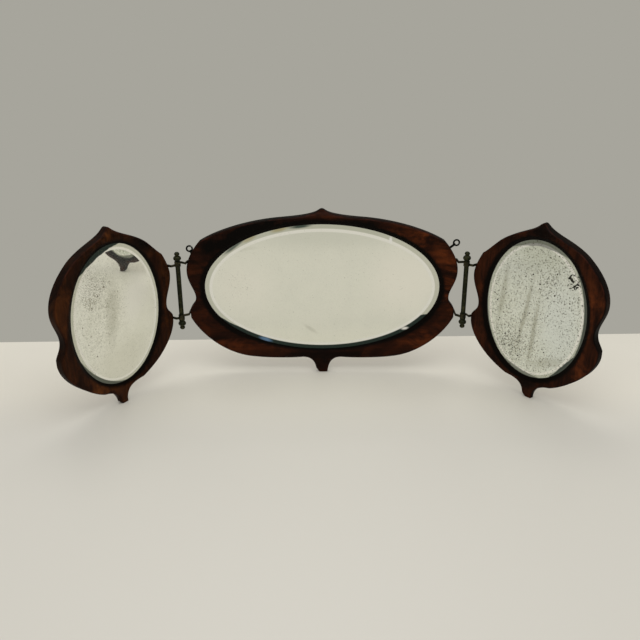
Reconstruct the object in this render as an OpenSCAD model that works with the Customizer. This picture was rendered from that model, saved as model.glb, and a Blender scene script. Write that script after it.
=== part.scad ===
// Three-fold shaving mirror: a wide centre board and two narrower wings, each a shaped wooden board
// with an oval bevelled mirror let in from the back. The wings turn on two brass pillars.
// Millimetres. The origin is on the table, under the middle of the centre board's foot.
// X runs to the right, Y away from the person who looks in, Z up.

/* [Boards] */
// Thickness of the three boards
board_t = 14; // [12.5:0.5:18]
// Radius of the rounded front edge
edge_round = 3; // [2:0.25:3.5]
// Small chamfer along the back edge
back_chamfer = 1; // [0.5:0.25:1.5]
// How far the face falls from the outer edge to the cove
face_fall = 1.2; // [0.6:0.1:1.6]
// Width of the cove beside the glass
cove_w = 6.5; // [5:0.5:7.5]
// Depth of the sight edge behind the front face
sight_depth = 4.2; // [3.6:0.1:4.4]

/* [Centre board] */
// Overall width of the centre board, over the horns
centre_w = 408; // [360:2:460]
// Height of the centre board, from the table to the tip of the spur
centre_h = 261; // [245:1:280]
// Height of the spur above the top rail
centre_spur_h = 13; // [8:1:18]
// Height of the foot below the bottom rail
centre_foot_h = 25; // [22:0.5:32]
// Width of wood between the oval and the end of the board
centre_end_rail = 24.3; // [20:0.5:34]
// Width of wood above the oval
centre_top_rail = 9.5; // [9:0.5:16]
// Width of wood below the oval
centre_bottom_rail = 12.7; // [11:0.1:18]

/* [Wing boards] */
// Height of a wing board, from the table to the tip of the spur
wing_h = 261; // [245:1:280]
// Height of the wing's spur above its top rail
wing_spur_h = 15; // [10:1:20]
// Height of the wing's foot below its bottom rail
wing_foot_h = 25.6; // [20:0.5:30]
// Width of wood between the oval and the side of the wing
wing_side_rail = 24.4; // [20:0.2:30]
// Width of wood above the oval
wing_top_rail = 9.1; // [9:0.5:14]
// Height of the oval's lowest point above the top of the foot
wing_bottom_rail = 5.3; // [5:0.5:10]
// How far the left wing's foot stands out from the middle of the wing
left_foot_lean = 8.4; // [0:0.5:10]
// How far the right wing's foot stands out from the middle of the wing
right_foot_lean = 6; // [0:0.5:10]
// Height of the corner where a wing's inner shoulder meets the lobe
wing_corner_z = 201.2; // [197:0.2:204]
// How far the waist on the hinge side is cut in behind the horn
wing_inner_waist = 12; // [6:0.2:13]
// How far the waist on the free side is cut in behind the horn
wing_outer_waist = 10; // [6:0.2:13]
// Gap between a closed wing and the middle of the mirror
meet_gap = 0.8; // [0.6:0.2:4]

/* [Sides of the boards] */
// Height of the widest place of the upper lobes
lobe_z = 166; // [155:1:178]
// Height of the waist between lobe and horn
waist_z = 125; // [118:1:134]
// Height of the horns' tips
horn_z = 104.5; // [100:0.5:108]
// Height of the blunt end of a horn
horn_h = 12.5; // [9:0.5:15]
// How far the waists of the centre board are cut in behind the horns
centre_waist = 11.4; // [6:0.2:13]
// Half the width of a foot just above the table
foot_half_w = 8.6; // [6:0.2:10]
// Radius of the worn corners at the bottom of a foot
foot_round = 2.4; // [1:0.2:4]

/* [Glass and backs] */
// Thickness of the plate glass
glass_t = 4; // [3:0.25:4.5]
// Depth of the flat front of the glass behind the board's face
glass_depth = 4.6; // [4.6:0.1:5.2]
// Width of the bevel that shows inside the sight edge
bevel_seen = 10; // [6:1:14]
// How much thinner the glass is at its ground edge
bevel_drop = 1.6; // [1:0.1:2]
// Width of the rebate that takes the glass
glass_rebate = 4.5; // [3.5:0.25:5]
// Clearance round the glass in its rebate
glass_gap = 0.5; // [0.3:0.1:0.8]
// Gap between the lip of wood and the bevel
lip_gap = 0.1; // [0.05:0.05:0.2]
// Thickness of the card behind the glass
packing_t = 0.8; // [0.5:0.1:1.2]
// Thickness of the thin back panels
back_t = 3.5; // [2.5:0.25:3.75]
// Width of the rebate that takes the back panel
back_rebate = 8.5; // [8:0.25:9]
// Clearance round the back panel in its rebate
back_gap = 0.4; // [0.3:0.1:0.8]
// Diameter of the panel pins
panel_pin_d = 1.2; // [1:0.1:1.6]
// Length of the panel pins
panel_pin_l = 9; // [7:0.5:9.5]
// Diameter of the pin heads
panel_head_d = 2.4; // [2:0.1:3]

/* [Hinge pillars] */
// Distance from the hinge axis to the side of the centre board
centre_hinge_gap = 10.2; // [9:0.2:14]
// Distance from the hinge axis to the side of the wing
wing_hinge_gap = 6.6; // [6.4:0.1:10]
// Distance of the hinge axis in front of the boards' faces
hinge_out = 9; // [7:0.5:12]
// How far the left wing stands folded forward
left_fold = 56.2; // [0:0.1:180]
// How far the right wing stands folded forward
right_fold = 45.5; // [0:0.1:180]
// Height of the highest eye on a pillar
upper_eye_z = 184; // [178:1:190]
// Height of the higher one of the left pillar's lower eyes
left_lower_eye_z = 99.5; // [96:0.5:106]
// Height of the higher one of the right pillar's lower eyes
right_lower_eye_z = 101.5; // [96:0.5:106]
// Diameter of the pin through a pillar
pin_d = 4; // [3:0.5:4.5]
// Running clearance round the pin
pin_gap = 0.05; // [0.02:0.01:0.1]
// Outer diameter of the spacer tube
tube_d = 7; // [6.5:0.5:9]
// End play at each joint face on the pillar
end_gap = 0.05; // [0.02:0.01:0.1]
// Outer diameter of the washers between the eyes
washer_d = 8.6; // [8:0.2:9.2]
// Thickness of the washers
washer_t = 0.3; // [0.2:0.1:0.6]

/* [Brass straps] */
// Thickness of the strap metal
strap_t = 1.6; // [1.2:0.1:2]
// Height of a strap where it crosses the gap
strap_h = 3.4; // [3:0.2:4]
// Outer diameter of the eye at the end of a strap
eye_d = 9.2; // [8.6:0.2:10]
// Clearance between a strap and the side of its board
strap_gap = 0.6; // [0.4:0.1:1]
// Inside radius of the bend round the back corner
strap_bend = 0.8; // [0.5:0.1:1.2]
// Height of the plate that is screwed to the back
plate_h = 9; // [8:0.5:11]
// Length of the plate, from the side of the board
plate_l = 17.5; // [16.5:0.5:19]
// Height of the left upper plate on the centre board
left_upper_plate_z = 178.8; // [177:0.2:184]
// Height of the right upper plate on the centre board
right_upper_plate_z = 181.2; // [177:0.2:184]
// Height of the lower plates on the centre board
centre_lower_plate_z = 99.6; // [97:0.2:101]
// Height of the upper plates on the wings
wing_upper_plate_z = 178.6; // [176:0.2:181]
// Height of the lower plates on the wings
wing_lower_plate_z = 95.6; // [94:0.2:99]
// How far in front of the faces the strap turns to its eye
turn_out = 3.5; // [2:0.5:4.5]

/* [Screws] */
// Diameter of the screw shanks
screw_d = 2.4; // [2:0.1:2.8]
// Diameter of the countersunk heads
screw_head_d = 4.8; // [4.2:0.1:5.2]
// Length of the screws
screw_l = 9; // [7:0.5:10]
// Clearance of a screw in its plate
screw_gap = 0.1; // [0.05:0.05:0.2]
// Distance between the two screws of a strap
screw_pitch = 8.5; // [8:0.5:9]
// Width of the slot in a screw head
slot_w = 0.6; // [0.4:0.1:0.8]
// Depth of the slot in a screw head
slot_depth = 0.5; // [0.3:0.1:0.7]

/* [Finials] */
// Diameter of the large ball
big_ball_d = 11.6; // [10:0.2:13]
// Height of the large ball
big_ball_h = 8.8; // [7:0.2:10]
// Diameter of the small ball
small_ball_d = 7.8; // [6.6:0.2:9]
// Height of the small ball
small_ball_h = 6.4; // [5:0.2:8]
// Height of the collar under the upper finial's ball
top_collar_h = 1; // [0.6:0.1:2]
// Height of the nut above the lower finial's ball
bottom_collar_h = 2.8; // [2:0.2:5]
// How far the pin is screwed into each finial
finial_bore = 5.5; // [4:0.5:6.5]

/* [Hanging rings] */
// Outer diameter of the rings
ring_d = 11; // [11:0.2:13]
// Diameter of the ring wire
ring_wire = 1.7; // [1.4:0.1:1.8]
// Outer diameter of the rolled loop that holds a ring
loop_d = 3.9; // [3.8:0.1:4.2]
// Inner diameter of the rolled loop
loop_bore = 2.4; // [2.35:0.05:2.6]
// Width of the rolled loop
loop_w = 3; // [2.4:0.1:3.2]
// Thickness of the hanger plate
hanger_t = 1; // [0.8:0.1:1.2]
// Width of the hanger plate
hanger_w = 5.8; // [5.2:0.1:6.4]
// Distance from the left loop to its hanger's screw
left_hanger_l = 7.6; // [7:0.2:8]
// Distance from the right loop to its hanger's screw
right_hanger_l = 12; // [11:0.5:13.5]
// Diameter of the hanger screw's shank
hanger_screw_d = 2; // [1.6:0.1:2.2]
// Diameter of the hanger screw's round head
hanger_head_d = 3.6; // [3.2:0.1:4]
// How far the left hanger's screw sits in from the side of the board
left_hanger_in = 4.4; // [3.8:0.1:6]
// Gap between the left hanger and the strap's plate below it
left_hanger_gap = 1.3; // [0.8:0.1:3]
// Direction of the left hanger, from level at the right
left_hang = 115; // [105:1:125]
// How far the right hanger's screw sits in from the side of the board
right_hanger_in = 5.4; // [4:0.1:7]
// Gap between the right hanger and the strap's plate below it
right_hanger_gap = 8.6; // [6:0.2:10]
// Direction of the right hanger, from level at the right
right_hang = 37; // [30:1:45]

/* [Hidden] */

wood = [0.24, 0.10, 0.06];
silvered = [0.80, 0.82, 0.80];
card = [0.62, 0.54, 0.40];
panel_wood = [0.45, 0.30, 0.18];
brass = [0.42, 0.36, 0.20];
steel = [0.35, 0.33, 0.30];

// Planes across the thickness of a board, from its front face at front_y to its back face at back_y
front_y = -board_t / 2;
back_y = board_t / 2;
glass_front_y = front_y + glass_depth;
glass_back_y = glass_front_y + glass_t;
glass_cover = glass_rebate - glass_gap;
lip_y = glass_front_y + bevel_drop * bevel_seen / (bevel_seen + glass_cover) - lip_gap;
step_y = glass_back_y + packing_t;
panel_back_y = step_y + back_t;

// The hinge axes, and where the wings stand from them
hinge_x = centre_w / 2 + centre_hinge_gap;
hinge_y = front_y - hinge_out;
wing_half_w = (hinge_x - wing_hinge_gap - meet_gap) / 2;
wing_mid = wing_hinge_gap + wing_half_w;

// Half sizes and middle heights of the two sizes of oval
centre_top_z = centre_h - centre_spur_h;
centre_oval = [
    centre_w / 2 - centre_end_rail,
    (centre_top_z - centre_top_rail - centre_foot_h - centre_bottom_rail) / 2,
    (centre_top_z - centre_top_rail + centre_foot_h + centre_bottom_rail) / 2
];
wing_top_z = wing_h - wing_spur_h;
wing_oval = [
    wing_half_w - wing_side_rail,
    (wing_top_z - wing_top_rail - wing_foot_h - wing_bottom_rail) / 2,
    (wing_top_z - wing_top_rail + wing_foot_h + wing_bottom_rail) / 2
];

// Worn corner at the bottom of a foot, and where its side begins
foot_corner = [[foot_half_w - foot_round, 0], [foot_half_w - foot_round * 0.3, foot_round * 0.3]];
foot_side = [foot_half_w, foot_round];

// Levels of the eyes, the tube and the finials on a pillar
eye_pitch = strap_h + washer_t + 2 * end_gap;
wing_upper_eye_z = upper_eye_z - eye_pitch;
tube_high_z = wing_upper_eye_z - strap_h / 2 - end_gap;
top_finial_z = upper_eye_z + strap_h / 2 + end_gap;
bore_r = pin_d / 2 + pin_gap;
function lower_eye_z(side) = side < 0 ? left_lower_eye_z : right_lower_eye_z;
function tube_low_z(side) = lower_eye_z(side) + strap_h / 2 + end_gap;
function bottom_finial_z(side) = lower_eye_z(side) - eye_pitch - strap_h / 2 - end_gap;

// Middle of the ring wire, and the plane that a hanging ring lies in
ring_r = (ring_d - ring_wire) / 2;
loop_y = back_y + loop_d / 2;
function hanger_z(plate_z, gap) = plate_z + plate_h / 2 + gap + hanger_w / 2;
left_hanger_z = hanger_z(left_upper_plate_z, left_hanger_gap);
right_hanger_z = hanger_z(right_upper_plate_z, right_hanger_gap);
left_loop = [
    left_hanger_in - widest(centre_side(), left_hanger_z, left_hanger_z) + left_hanger_l * cos(left_hang),
    left_hanger_z + left_hanger_l * sin(left_hang)
];
right_loop = [
    widest(centre_side(), right_hanger_z, right_hanger_z) - right_hanger_in
        + right_hanger_l * cos(right_hang),
    right_hanger_z + right_hanger_l * sin(right_hang)
];

// Curve from p to q that leaves along c and arrives along d, in n steps, without its last point
function curve(p, c, d, q, n) = [
    for (i = [0 : n - 1])
        let (t = i / n, s = 1 - t)
        s * s * s * p + 3 * s * s * t * c + 3 * s * t * t * d + t * t * t * q
];

// Outline of a board from its right and left sides, with the tip of the spur and the middle of the foot
function both_sides(right, left, tip) = concat(
    right, [tip],
    [for (i = [len(left) - 1 : -1 : 0]) [-left[i].x, left[i].y]],
    [[0, 0]]
);

// Right side of the centre board: foot, bottom rail, horn, waist, lobe, shoulder, spur
function centre_side() =
    let (
        w = centre_w / 2,
        rail_start = [30, centre_foot_h],
        rail_end = [w - 94, centre_foot_h + 1.4],
        horn_foot = [w - 2, horn_z - horn_h],
        horn = [w - 1.6, horn_z],
        waist = [w - centre_waist, waist_z],
        lobe = [w, lobe_z],
        shoulder = [w - 22, centre_top_z - 35],
        spur_foot = [60, centre_top_z],
        spur_top = [4.6, centre_h - 2]
    ) concat(
        foot_corner,
        curve(foot_side, [foot_half_w + 2, 14], rail_start - [16, 0], rail_start, 6),
        curve(rail_start, rail_start + [20, -1.8], rail_end - [25, 3.2], rail_end, 4),
        curve(rail_end, rail_end + [40, 4.6], horn_foot - [15.5, 31], horn_foot, 11),
        [horn_foot],
        curve(horn, horn + [-1.4, 7.5], waist - [0, 10], waist, 5),
        curve(waist, waist + [0, 12], lobe - [0, 18], lobe, 6),
        curve(lobe, lobe + [0, 18], shoulder + [12, -13], shoulder, 6),
        curve(shoulder, shoulder + [-30, 18], spur_foot + [44, -3.5], spur_foot, 8),
        curve(spur_foot, spur_foot + [-22, 2], spur_top + [8.4, -6.5], spur_top, 6),
        [spur_top, [2, centre_h - 0.3]]
    );

// Lower part of a wing's side, up to the waist: foot, rail, horn
function wing_low_side(waist) =
    let (
        w = wing_half_w,
        foot_top = [36, wing_foot_h],
        horn_foot = [w - 0.8, horn_z - horn_h],
        horn = [w - 0.8, horn_z - 3]
    ) concat(
        foot_corner,
        curve(foot_side, [foot_half_w + 0.2, 12], foot_top - [21, 3.8], foot_top, 7),
        curve(foot_top, foot_top + [22, 8], horn_foot - [3.5, 31], horn_foot, 11),
        [horn_foot],
        curve(horn, horn + [-3, 7.5], waist - [0, 11], waist, 5)
    );

// Free side of a wing before its foot is leaned: its shoulder runs into the lobe in one sweep
function wing_outer_side() =
    let (
        w = wing_half_w,
        waist = [w - wing_outer_waist, waist_z],
        lobe = [w, lobe_z],
        shoulder = [w - 37.2, wing_top_z - 18.6],
        spur_top = [4.2, wing_h - 2.2]
    ) concat(
        wing_low_side(waist),
        curve(waist, waist + [0, 13], lobe - [0, 16], lobe, 6),
        curve(lobe, lobe + [0, 24], shoulder + [20, -16], shoulder, 8),
        curve(shoulder, shoulder + [-24, 17], spur_top + [12.5, -12.5], spur_top, 7),
        [spur_top, [1.8, wing_h - 0.4]]
    );

// Hinge side of a wing before its foot is leaned: its shoulder meets the lobe in a corner
function wing_inner_side() =
    let (
        w = wing_half_w,
        waist = [w - wing_inner_waist, waist_z - 3],
        lobe = [w, lobe_z],
        elbow = [w - 12.9, wing_corner_z],
        shoulder = [w - 39.4, wing_top_z - 21],
        spur_top = [4.2, wing_h - 2.2]
    ) concat(
        wing_low_side(waist),
        curve(waist, waist + [0, 14], lobe - [0, 18], lobe, 6),
        curve(lobe, lobe + [0, 12], elbow + [5, -9.7], elbow, 4),
        curve(elbow, elbow + [-4.5, 2.3], shoulder + [10, -9], shoulder, 4),
        curve(shoulder, shoulder + [-22, 18], spur_top + [12.5, -12.5], spur_top, 7),
        [spur_top, [1.8, wing_h - 0.4]]
    );

// A wing's foot leans outward, most at the table and not at all above the lower rail
function lean(p, by) = [p.x + by * max(0, 1 - p.y / (1.7 * wing_foot_h)), p.y];

function centre_outline() = both_sides(centre_side(), centre_side(), [0, centre_h]);
function wing_outline(foot_lean) = [
    for (p = both_sides(wing_outer_side(), wing_inner_side(), [0, wing_h])) lean(p, foot_lean)
];

// Points of an oval, grown by g, at the angles in the list
function oval_points(oval, g, angles) = [
    for (a = angles) [(oval.x + g) * cos(a), oval.z + (oval.y + g) * sin(a)]
];
function even_angles(n) = [for (i = [0 : n - 1]) i * 360 / n];

// An outline moved inward by d along its own normals
function inset(points, d) =
    let (n = len(points))
    [for (i = [0 : n - 1])
        let (along = points[(i + 1) % n] - points[(i + n - 1) % n])
        points[i] + d * [-along.y, along.x] / norm(along)];

// A flat ring of points stood up at depth y
function stand(points, y) = [for (p = points) [p.x, y, p.y]];

// Closed loft through rings of equally many points, the last ring joined to the first
module ring_loft(rings) {
    n = len(rings[0]);
    r = len(rings);
    polyhedron(
        points = [for (ring = rings) for (p = ring) p],
        faces = [
            for (j = [0 : r - 1]) for (i = [0 : n - 1])
                [j * n + i, ((j + 1) % r) * n + i, ((j + 1) % r) * n + (i + 1) % n, j * n + (i + 1) % n]
        ],
        convexity = 8
    );
}

// Solid loft through rings of equally many points, closed by its first and last ring
module capped_loft(rings) {
    n = len(rings[0]);
    r = len(rings);
    polyhedron(
        points = [for (ring = rings) for (p = ring) p],
        faces = concat(
            [[for (i = [0 : n - 1]) n - 1 - i]],
            [for (j = [0 : r - 2]) for (i = [0 : n - 1])
                [j * n + i, j * n + (i + 1) % n, (j + 1) * n + (i + 1) % n, (j + 1) * n + i]],
            [[for (i = [0 : n - 1]) (r - 1) * n + i]]
        ),
        convexity = 4
    );
}

// A shaped board with its rounded edge, falling face, cove, lip and the two rebates at the back
module board(outline, oval) {
    angles = [for (p = outline) atan2((p.y - oval.z) / oval.y, p.x / oval.x)];
    crown = inset(outline, edge_round);
    cove = oval_points(oval, cove_w, angles);
    round_in = edge_round * (1 - sin(45));
    color(wood) ring_loft([
        stand(inset(outline, back_chamfer), back_y),
        stand(outline, back_y - back_chamfer),
        stand(outline, front_y + edge_round),
        stand(inset(outline, round_in), front_y + round_in),
        stand(crown, front_y),
        stand((crown + cove) / 2, front_y + face_fall * 0.4),
        stand(cove, front_y + face_fall),
        stand(oval_points(oval, cove_w * 0.6, angles), front_y + face_fall + 0.9),
        stand(oval_points(oval, cove_w * 0.25, angles), front_y + sight_depth - 0.8),
        stand(oval_points(oval, 0, angles), front_y + sight_depth),
        stand(oval_points(oval, 0, angles), lip_y),
        stand(oval_points(oval, glass_rebate, angles), lip_y),
        stand(oval_points(oval, glass_rebate, angles), step_y),
        stand(oval_points(oval, back_rebate, angles), step_y),
        stand(oval_points(oval, back_rebate, angles), back_y)
    ]);
}

// Oval plate glass with a ground bevel round its front
module mirror_glass(oval) {
    angles = even_angles(72);
    color(silvered) capped_loft([
        stand(oval_points(oval, -bevel_seen, angles), glass_front_y),
        stand(oval_points(oval, glass_cover, angles), glass_front_y + bevel_drop),
        stand(oval_points(oval, glass_cover, angles), glass_back_y)
    ]);
}

// Flat oval sheet between two depths
module oval_sheet(oval, grow, low_y, high_y) {
    translate([0, high_y, 0]) rotate([90, 0, 0])
        linear_extrude(height = high_y - low_y) polygon(oval_points(oval, grow, even_angles(96)));
}

module packing(oval) {
    color(card) oval_sheet(oval, glass_cover, glass_back_y, step_y);
}

module back_panel(oval) {
    color(panel_wood) oval_sheet(oval, back_rebate - back_gap, step_y, panel_back_y);
}

// Round-headed pins through the rim of a back panel, into the step of the board
module panel_pins(oval, count) {
    rim = (glass_rebate + back_rebate) / 2;
    head_h = panel_head_d / 4;
    for (p = oval_points(oval, rim, [for (i = [0 : count - 1]) (i + 0.5) * 360 / count]))
        color(steel) translate([p.x, panel_back_y, p.y]) rotate([90, 0, 0]) {
            translate([0, 0, -head_h]) cylinder(h = head_h, d = panel_head_d, $fn = 24);
            cylinder(h = panel_pin_l, d = panel_pin_d, $fn = 24);
        }
}

// Places: children are drawn with X as the distance from the hinge axis towards their board
module from_centre_hinge(side) {
    if (side > 0)
        translate([hinge_x, 0, 0]) mirror([1, 0, 0]) children();
    else
        translate([-hinge_x, 0, 0]) children();
}

module from_wing_hinge(side) {
    if (side > 0)
        translate([hinge_x, hinge_y, 0]) rotate([0, 0, -right_fold]) translate([0, -hinge_y, 0]) children();
    else
        translate([-hinge_x, hinge_y, 0]) rotate([0, 0, left_fold]) mirror([1, 0, 0])
            translate([0, -hinge_y, 0]) children();
}

module on_wing(side) {
    from_wing_hinge(side) translate([wing_mid, 0, 0]) children();
}

// Points of a path whose corner at b is rounded to radius r
function corner(a, b, c, r) =
    let (
        u = (a - b) / norm(a - b),
        v = (c - b) / norm(c - b),
        half = acos(u * v) / 2,
        mid = b + (u + v) / norm(u + v) * r / sin(half),
        p = b + u * r / tan(half) - mid,
        q = b + v * r / tan(half) - mid,
        turn = sign(p.x * q.y - p.y * q.x) * (180 - 2 * half),
        steps = 6
    ) [for (i = [0 : steps])
        let (t = turn * i / steps) mid + [p.x * cos(t) - p.y * sin(t), p.x * sin(t) + p.y * cos(t)]];

// Outline of a ribbon of width t that follows a path
function ribbon(path, t) =
    let (
        n = len(path),
        side = [for (i = [0 : n - 1])
            let (along = path[min(i + 1, n - 1)] - path[max(i - 1, 0)])
            t / 2 * [-along.y, along.x] / norm(along)]
    ) concat(
        [for (i = [0 : n - 1]) path[i] + side[i]],
        [for (i = [n - 1 : -1 : 0]) path[i] - side[i]]
    );

// Widest place of a board's side between two heights
function widest(side, low, high) = max([
    for (i = [0 : len(side) - 2], z = [low, (low + high) / 2, high])
        let (p = side[i], q = side[i + 1])
        if ((p.y - z) * (q.y - z) <= 0 && p.y != q.y) p.x + (q.x - p.x) * (z - p.y) / (q.y - p.y)
]);

// Distance from the hinge axis to the side of a board, where a strap passes round it at height z
function edge_at(middle, side, z) = middle - widest(side, z - strap_h / 2, z + strap_h / 2);

// Distances of a strap's two screws from the side of the board
screws_in = [plate_l - plate_h / 2 - screw_pitch, plate_l - plate_h / 2];

// Brass strap: screwed plate on the back, a bend round the board's edge, and an eye on the pillar
module strap(middle, side, eye_z, plate_z) {
    edge = edge_at(middle, side, plate_z);
    run = edge - strap_gap - strap_t / 2;
    back_corner = [run, back_y + strap_t / 2];
    front_corner = [run, front_y - turn_out];
    eye = [0, hinge_y];
    neck = eye + (front_corner - eye) / norm(front_corner - eye) * (eye_d / 2 + 0.3);
    path = concat(
        [[run + 6, back_corner.y]],
        corner([edge + plate_l, back_corner.y], back_corner, front_corner, strap_bend + strap_t / 2),
        corner(back_corner, front_corner, eye, 1.6),
        [neck, eye + (neck - eye) * 0.1]
    );
    sides = ribbon(path, strap_t);
    n = len(path);
    bar = [for (i = [0 : n - 1])
        let (
            a = sides[i],
            b = sides[2 * n - 1 - i],
            level = min(1, max(0, (path[i].y - neck.y) / (front_y - neck.y))),
            z = eye_z + (plate_z - eye_z) * level
        ) [
            [a.x, a.y, z - strap_h / 2], [b.x, b.y, z - strap_h / 2],
            [b.x, b.y, z + strap_h / 2], [a.x, a.y, z + strap_h / 2]
        ]];
    plate_start = run + strap_t / 2 + strap_bend + 1;
    plate_end = edge + plate_l - plate_h / 2;
    color(brass) difference() {
        union() {
            capped_loft(bar);
            translate([eye.x, eye.y, eye_z - strap_h / 2]) cylinder(h = strap_h, d = eye_d, $fn = 48);
            translate([plate_start, back_y, plate_z - plate_h / 2])
                cube([plate_end - plate_start, strap_t, plate_h]);
            translate([plate_end, back_y, plate_z]) rotate([-90, 0, 0])
                cylinder(h = strap_t, d = plate_h, $fn = 48);
        }
        translate([eye.x, eye.y, eye_z - strap_h]) cylinder(h = 2 * strap_h, r = bore_r, $fn = 48);
        for (x = screws_in)
            translate([edge + x, back_y, plate_z]) rotate([-90, 0, 0]) {
                translate([0, 0, -strap_t]) cylinder(h = 3 * strap_t, d = screw_d + 2 * screw_gap, $fn = 24);
                translate([0, 0, strap_t - (screw_head_d - screw_d) / 2])
                    cylinder(
                        h = (screw_head_d - screw_d) / 2 + screw_gap,
                        d1 = screw_d + 2 * screw_gap,
                        d2 = screw_head_d + 4 * screw_gap,
                        $fn = 24
                    );
            }
    }
}

// Countersunk slotted screw, head flush at z = 0 and shank down
module screw(turn) {
    cone_h = (screw_head_d - screw_d) / 2;
    difference() {
        union() {
            translate([0, 0, -cone_h]) cylinder(h = cone_h, d1 = screw_d, d2 = screw_head_d, $fn = 24);
            translate([0, 0, -screw_l]) cylinder(h = screw_l - cone_h / 2, d = screw_d, $fn = 24);
        }
        rotate([0, 0, turn]) translate([-screw_head_d, -slot_w / 2, -slot_depth])
            cube([2 * screw_head_d, slot_w, 2 * slot_depth]);
    }
}

// The four screws of a board's two straps at one pillar
module strap_screws(middle, side, levels) {
    turns = [20, 75, 130, 50];
    for (i = [0 : 1], j = [0 : 1])
        color(brass) translate([edge_at(middle, side, levels[i]) + screws_in[j], back_y + strap_t, levels[i]])
            rotate([-90, 0, 0]) screw(turns[2 * i + j]);
}

// Straps and screws of the centre board and of a wing, on the left for side -1 and on the right for 1
module centre_strap(side, eye_z, plate_z) {
    from_centre_hinge(side) strap(hinge_x, centre_side(), eye_z, plate_z);
}

module wing_strap(side, eye_z, plate_z) {
    from_wing_hinge(side) strap(wing_mid, wing_inner_side(), eye_z, plate_z);
}

module centre_screws(side, upper_plate_z) {
    from_centre_hinge(side) strap_screws(hinge_x, centre_side(), [upper_plate_z, centre_lower_plate_z]);
}

module wing_screws(side) {
    from_wing_hinge(side) strap_screws(wing_mid, wing_inner_side(), [wing_upper_plate_z, wing_lower_plate_z]);
}

// Places: children are drawn on the axis of a pillar
module on_pillar(side) {
    translate([side * hinge_x, hinge_y, 0]) children();
}

module pillar_pin(side) {
    low_z = bottom_finial_z(side);
    color(brass) on_pillar(side) translate([0, 0, low_z - finial_bore])
        cylinder(h = top_finial_z - low_z + 2 * finial_bore, d = pin_d, $fn = 48);
}

module pillar_tube(side) {
    tube_l = tube_high_z - tube_low_z(side);
    color(brass) on_pillar(side) translate([0, 0, tube_low_z(side)]) difference() {
        cylinder(h = tube_l, d = tube_d, $fn = 48);
        translate([0, 0, -1]) cylinder(h = tube_l + 2, r = bore_r, $fn = 48);
    }
}

module pillar_washers(side) {
    for (z = [upper_eye_z, lower_eye_z(side)])
        color(brass) on_pillar(side) translate([0, 0, z - strap_h / 2 - end_gap - washer_t]) difference() {
            cylinder(h = washer_t, d = washer_d, $fn = 48);
            translate([0, 0, -washer_t]) cylinder(h = 3 * washer_t, r = bore_r, $fn = 48);
        }
}

// Half outline of a flattened ball on the axis, from the bottom up
function ball_points(d, h, mid, low_a, high_a, n) = [
    for (i = [0 : n]) let (a = low_a + (high_a - low_a) * i / n) [d / 2 * cos(a), mid + h / 2 * sin(a)]
];

// Turned finial of two balls over a collar, with a blind bore for the pin
module finial(collar_h) {
    neck_r = 2;
    big_mid = collar_h + big_ball_h / 2 - 0.4;
    small_mid = big_mid + big_ball_h / 2 + small_ball_h / 2 - 0.9;
    color(brass) difference() {
        rotate_extrude($fn = 48) polygon(concat(
            [[0, 0], [4.2, 0], [4.2, collar_h - 0.5], [3.4, collar_h]],
            ball_points(big_ball_d, big_ball_h, big_mid, -48, 66, 10),
            [[neck_r, big_mid + big_ball_h / 2 + 0.1]],
            ball_points(small_ball_d, small_ball_h, small_mid, -52, 90, 9)
        ));
        translate([0, 0, -1]) cylinder(h = finial_bore + 1.2, r = bore_r, $fn = 48);
    }
}

module top_finial(side) {
    on_pillar(side) translate([0, 0, top_finial_z + end_gap]) finial(top_collar_h);
}

module bottom_finial(side) {
    on_pillar(side) translate([0, 0, bottom_finial_z(side) - end_gap]) mirror([0, 0, 1])
        finial(bottom_collar_h);
}

// Places: children lie in the plane of a hanger, with X from its screw towards its ring
module on_loop(loop, hang) {
    translate([loop.x, loop_y, loop.y]) rotate([0, -hang, 0]) children();
}

// Small hanger: a round-ended plate that ends in a rolled loop at distance l from its screw
module hanger(loop, hang, l) {
    color(brass) on_loop(loop, hang) difference() {
        union() {
            translate([-l, -loop_d / 2, 0]) rotate([-90, 0, 0])
                cylinder(h = hanger_t, d = hanger_w, $fn = 48);
            translate([-l, -loop_d / 2, -loop_w / 2]) cube([l, hanger_t, loop_w]);
            translate([0, 0, -loop_w / 2]) cylinder(h = loop_w, d = loop_d, $fn = 48);
        }
        translate([0, 0, -loop_w]) cylinder(h = 2 * loop_w, d = loop_bore, $fn = 48);
        translate([-l, -loop_d, 0]) rotate([-90, 0, 0])
            cylinder(h = 2 * loop_d, d = hanger_screw_d + 2 * screw_gap, $fn = 24);
    }
}

// Round-headed screw of a hanger
module hanger_screw(loop, hang, l) {
    head_h = hanger_head_d / 3;
    color(brass) on_loop(loop, hang) translate([-l, -loop_d / 2 + hanger_t, 0]) rotate([-90, 0, 0])
        difference() {
            union() {
                cylinder(h = head_h, d1 = hanger_head_d, d2 = hanger_head_d * 0.7, $fn = 24);
                translate([0, 0, -screw_l]) cylinder(h = screw_l + head_h / 2, d = hanger_screw_d, $fn = 24);
            }
            translate([-hanger_head_d, -slot_w / 2, head_h - slot_depth])
                cube([2 * hanger_head_d, slot_w, 2 * slot_depth]);
        }
}

// Plain wire ring through the loop, lying flat beside the board
module hanging_ring(loop, hang) {
    color(brass) on_loop(loop, hang) translate([ring_r, 0, 0]) rotate([90, 0, 0])
        rotate_extrude($fn = 48) translate([ring_r, 0]) circle(d = ring_wire, $fn = 24);
}

board(centre_outline(), centre_oval);  // centre_frame
mirror_glass(centre_oval);  // centre_glass
packing(centre_oval);  // centre_packing
back_panel(centre_oval);  // centre_back_panel
panel_pins(centre_oval, 10);  // centre_panel_pins

on_wing(-1) board(wing_outline(left_foot_lean), wing_oval);  // left_frame
on_wing(-1) mirror_glass(wing_oval);  // left_glass
on_wing(-1) packing(wing_oval);  // left_packing
on_wing(-1) back_panel(wing_oval);  // left_back_panel
on_wing(-1) panel_pins(wing_oval, 8);  // left_panel_pins

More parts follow.
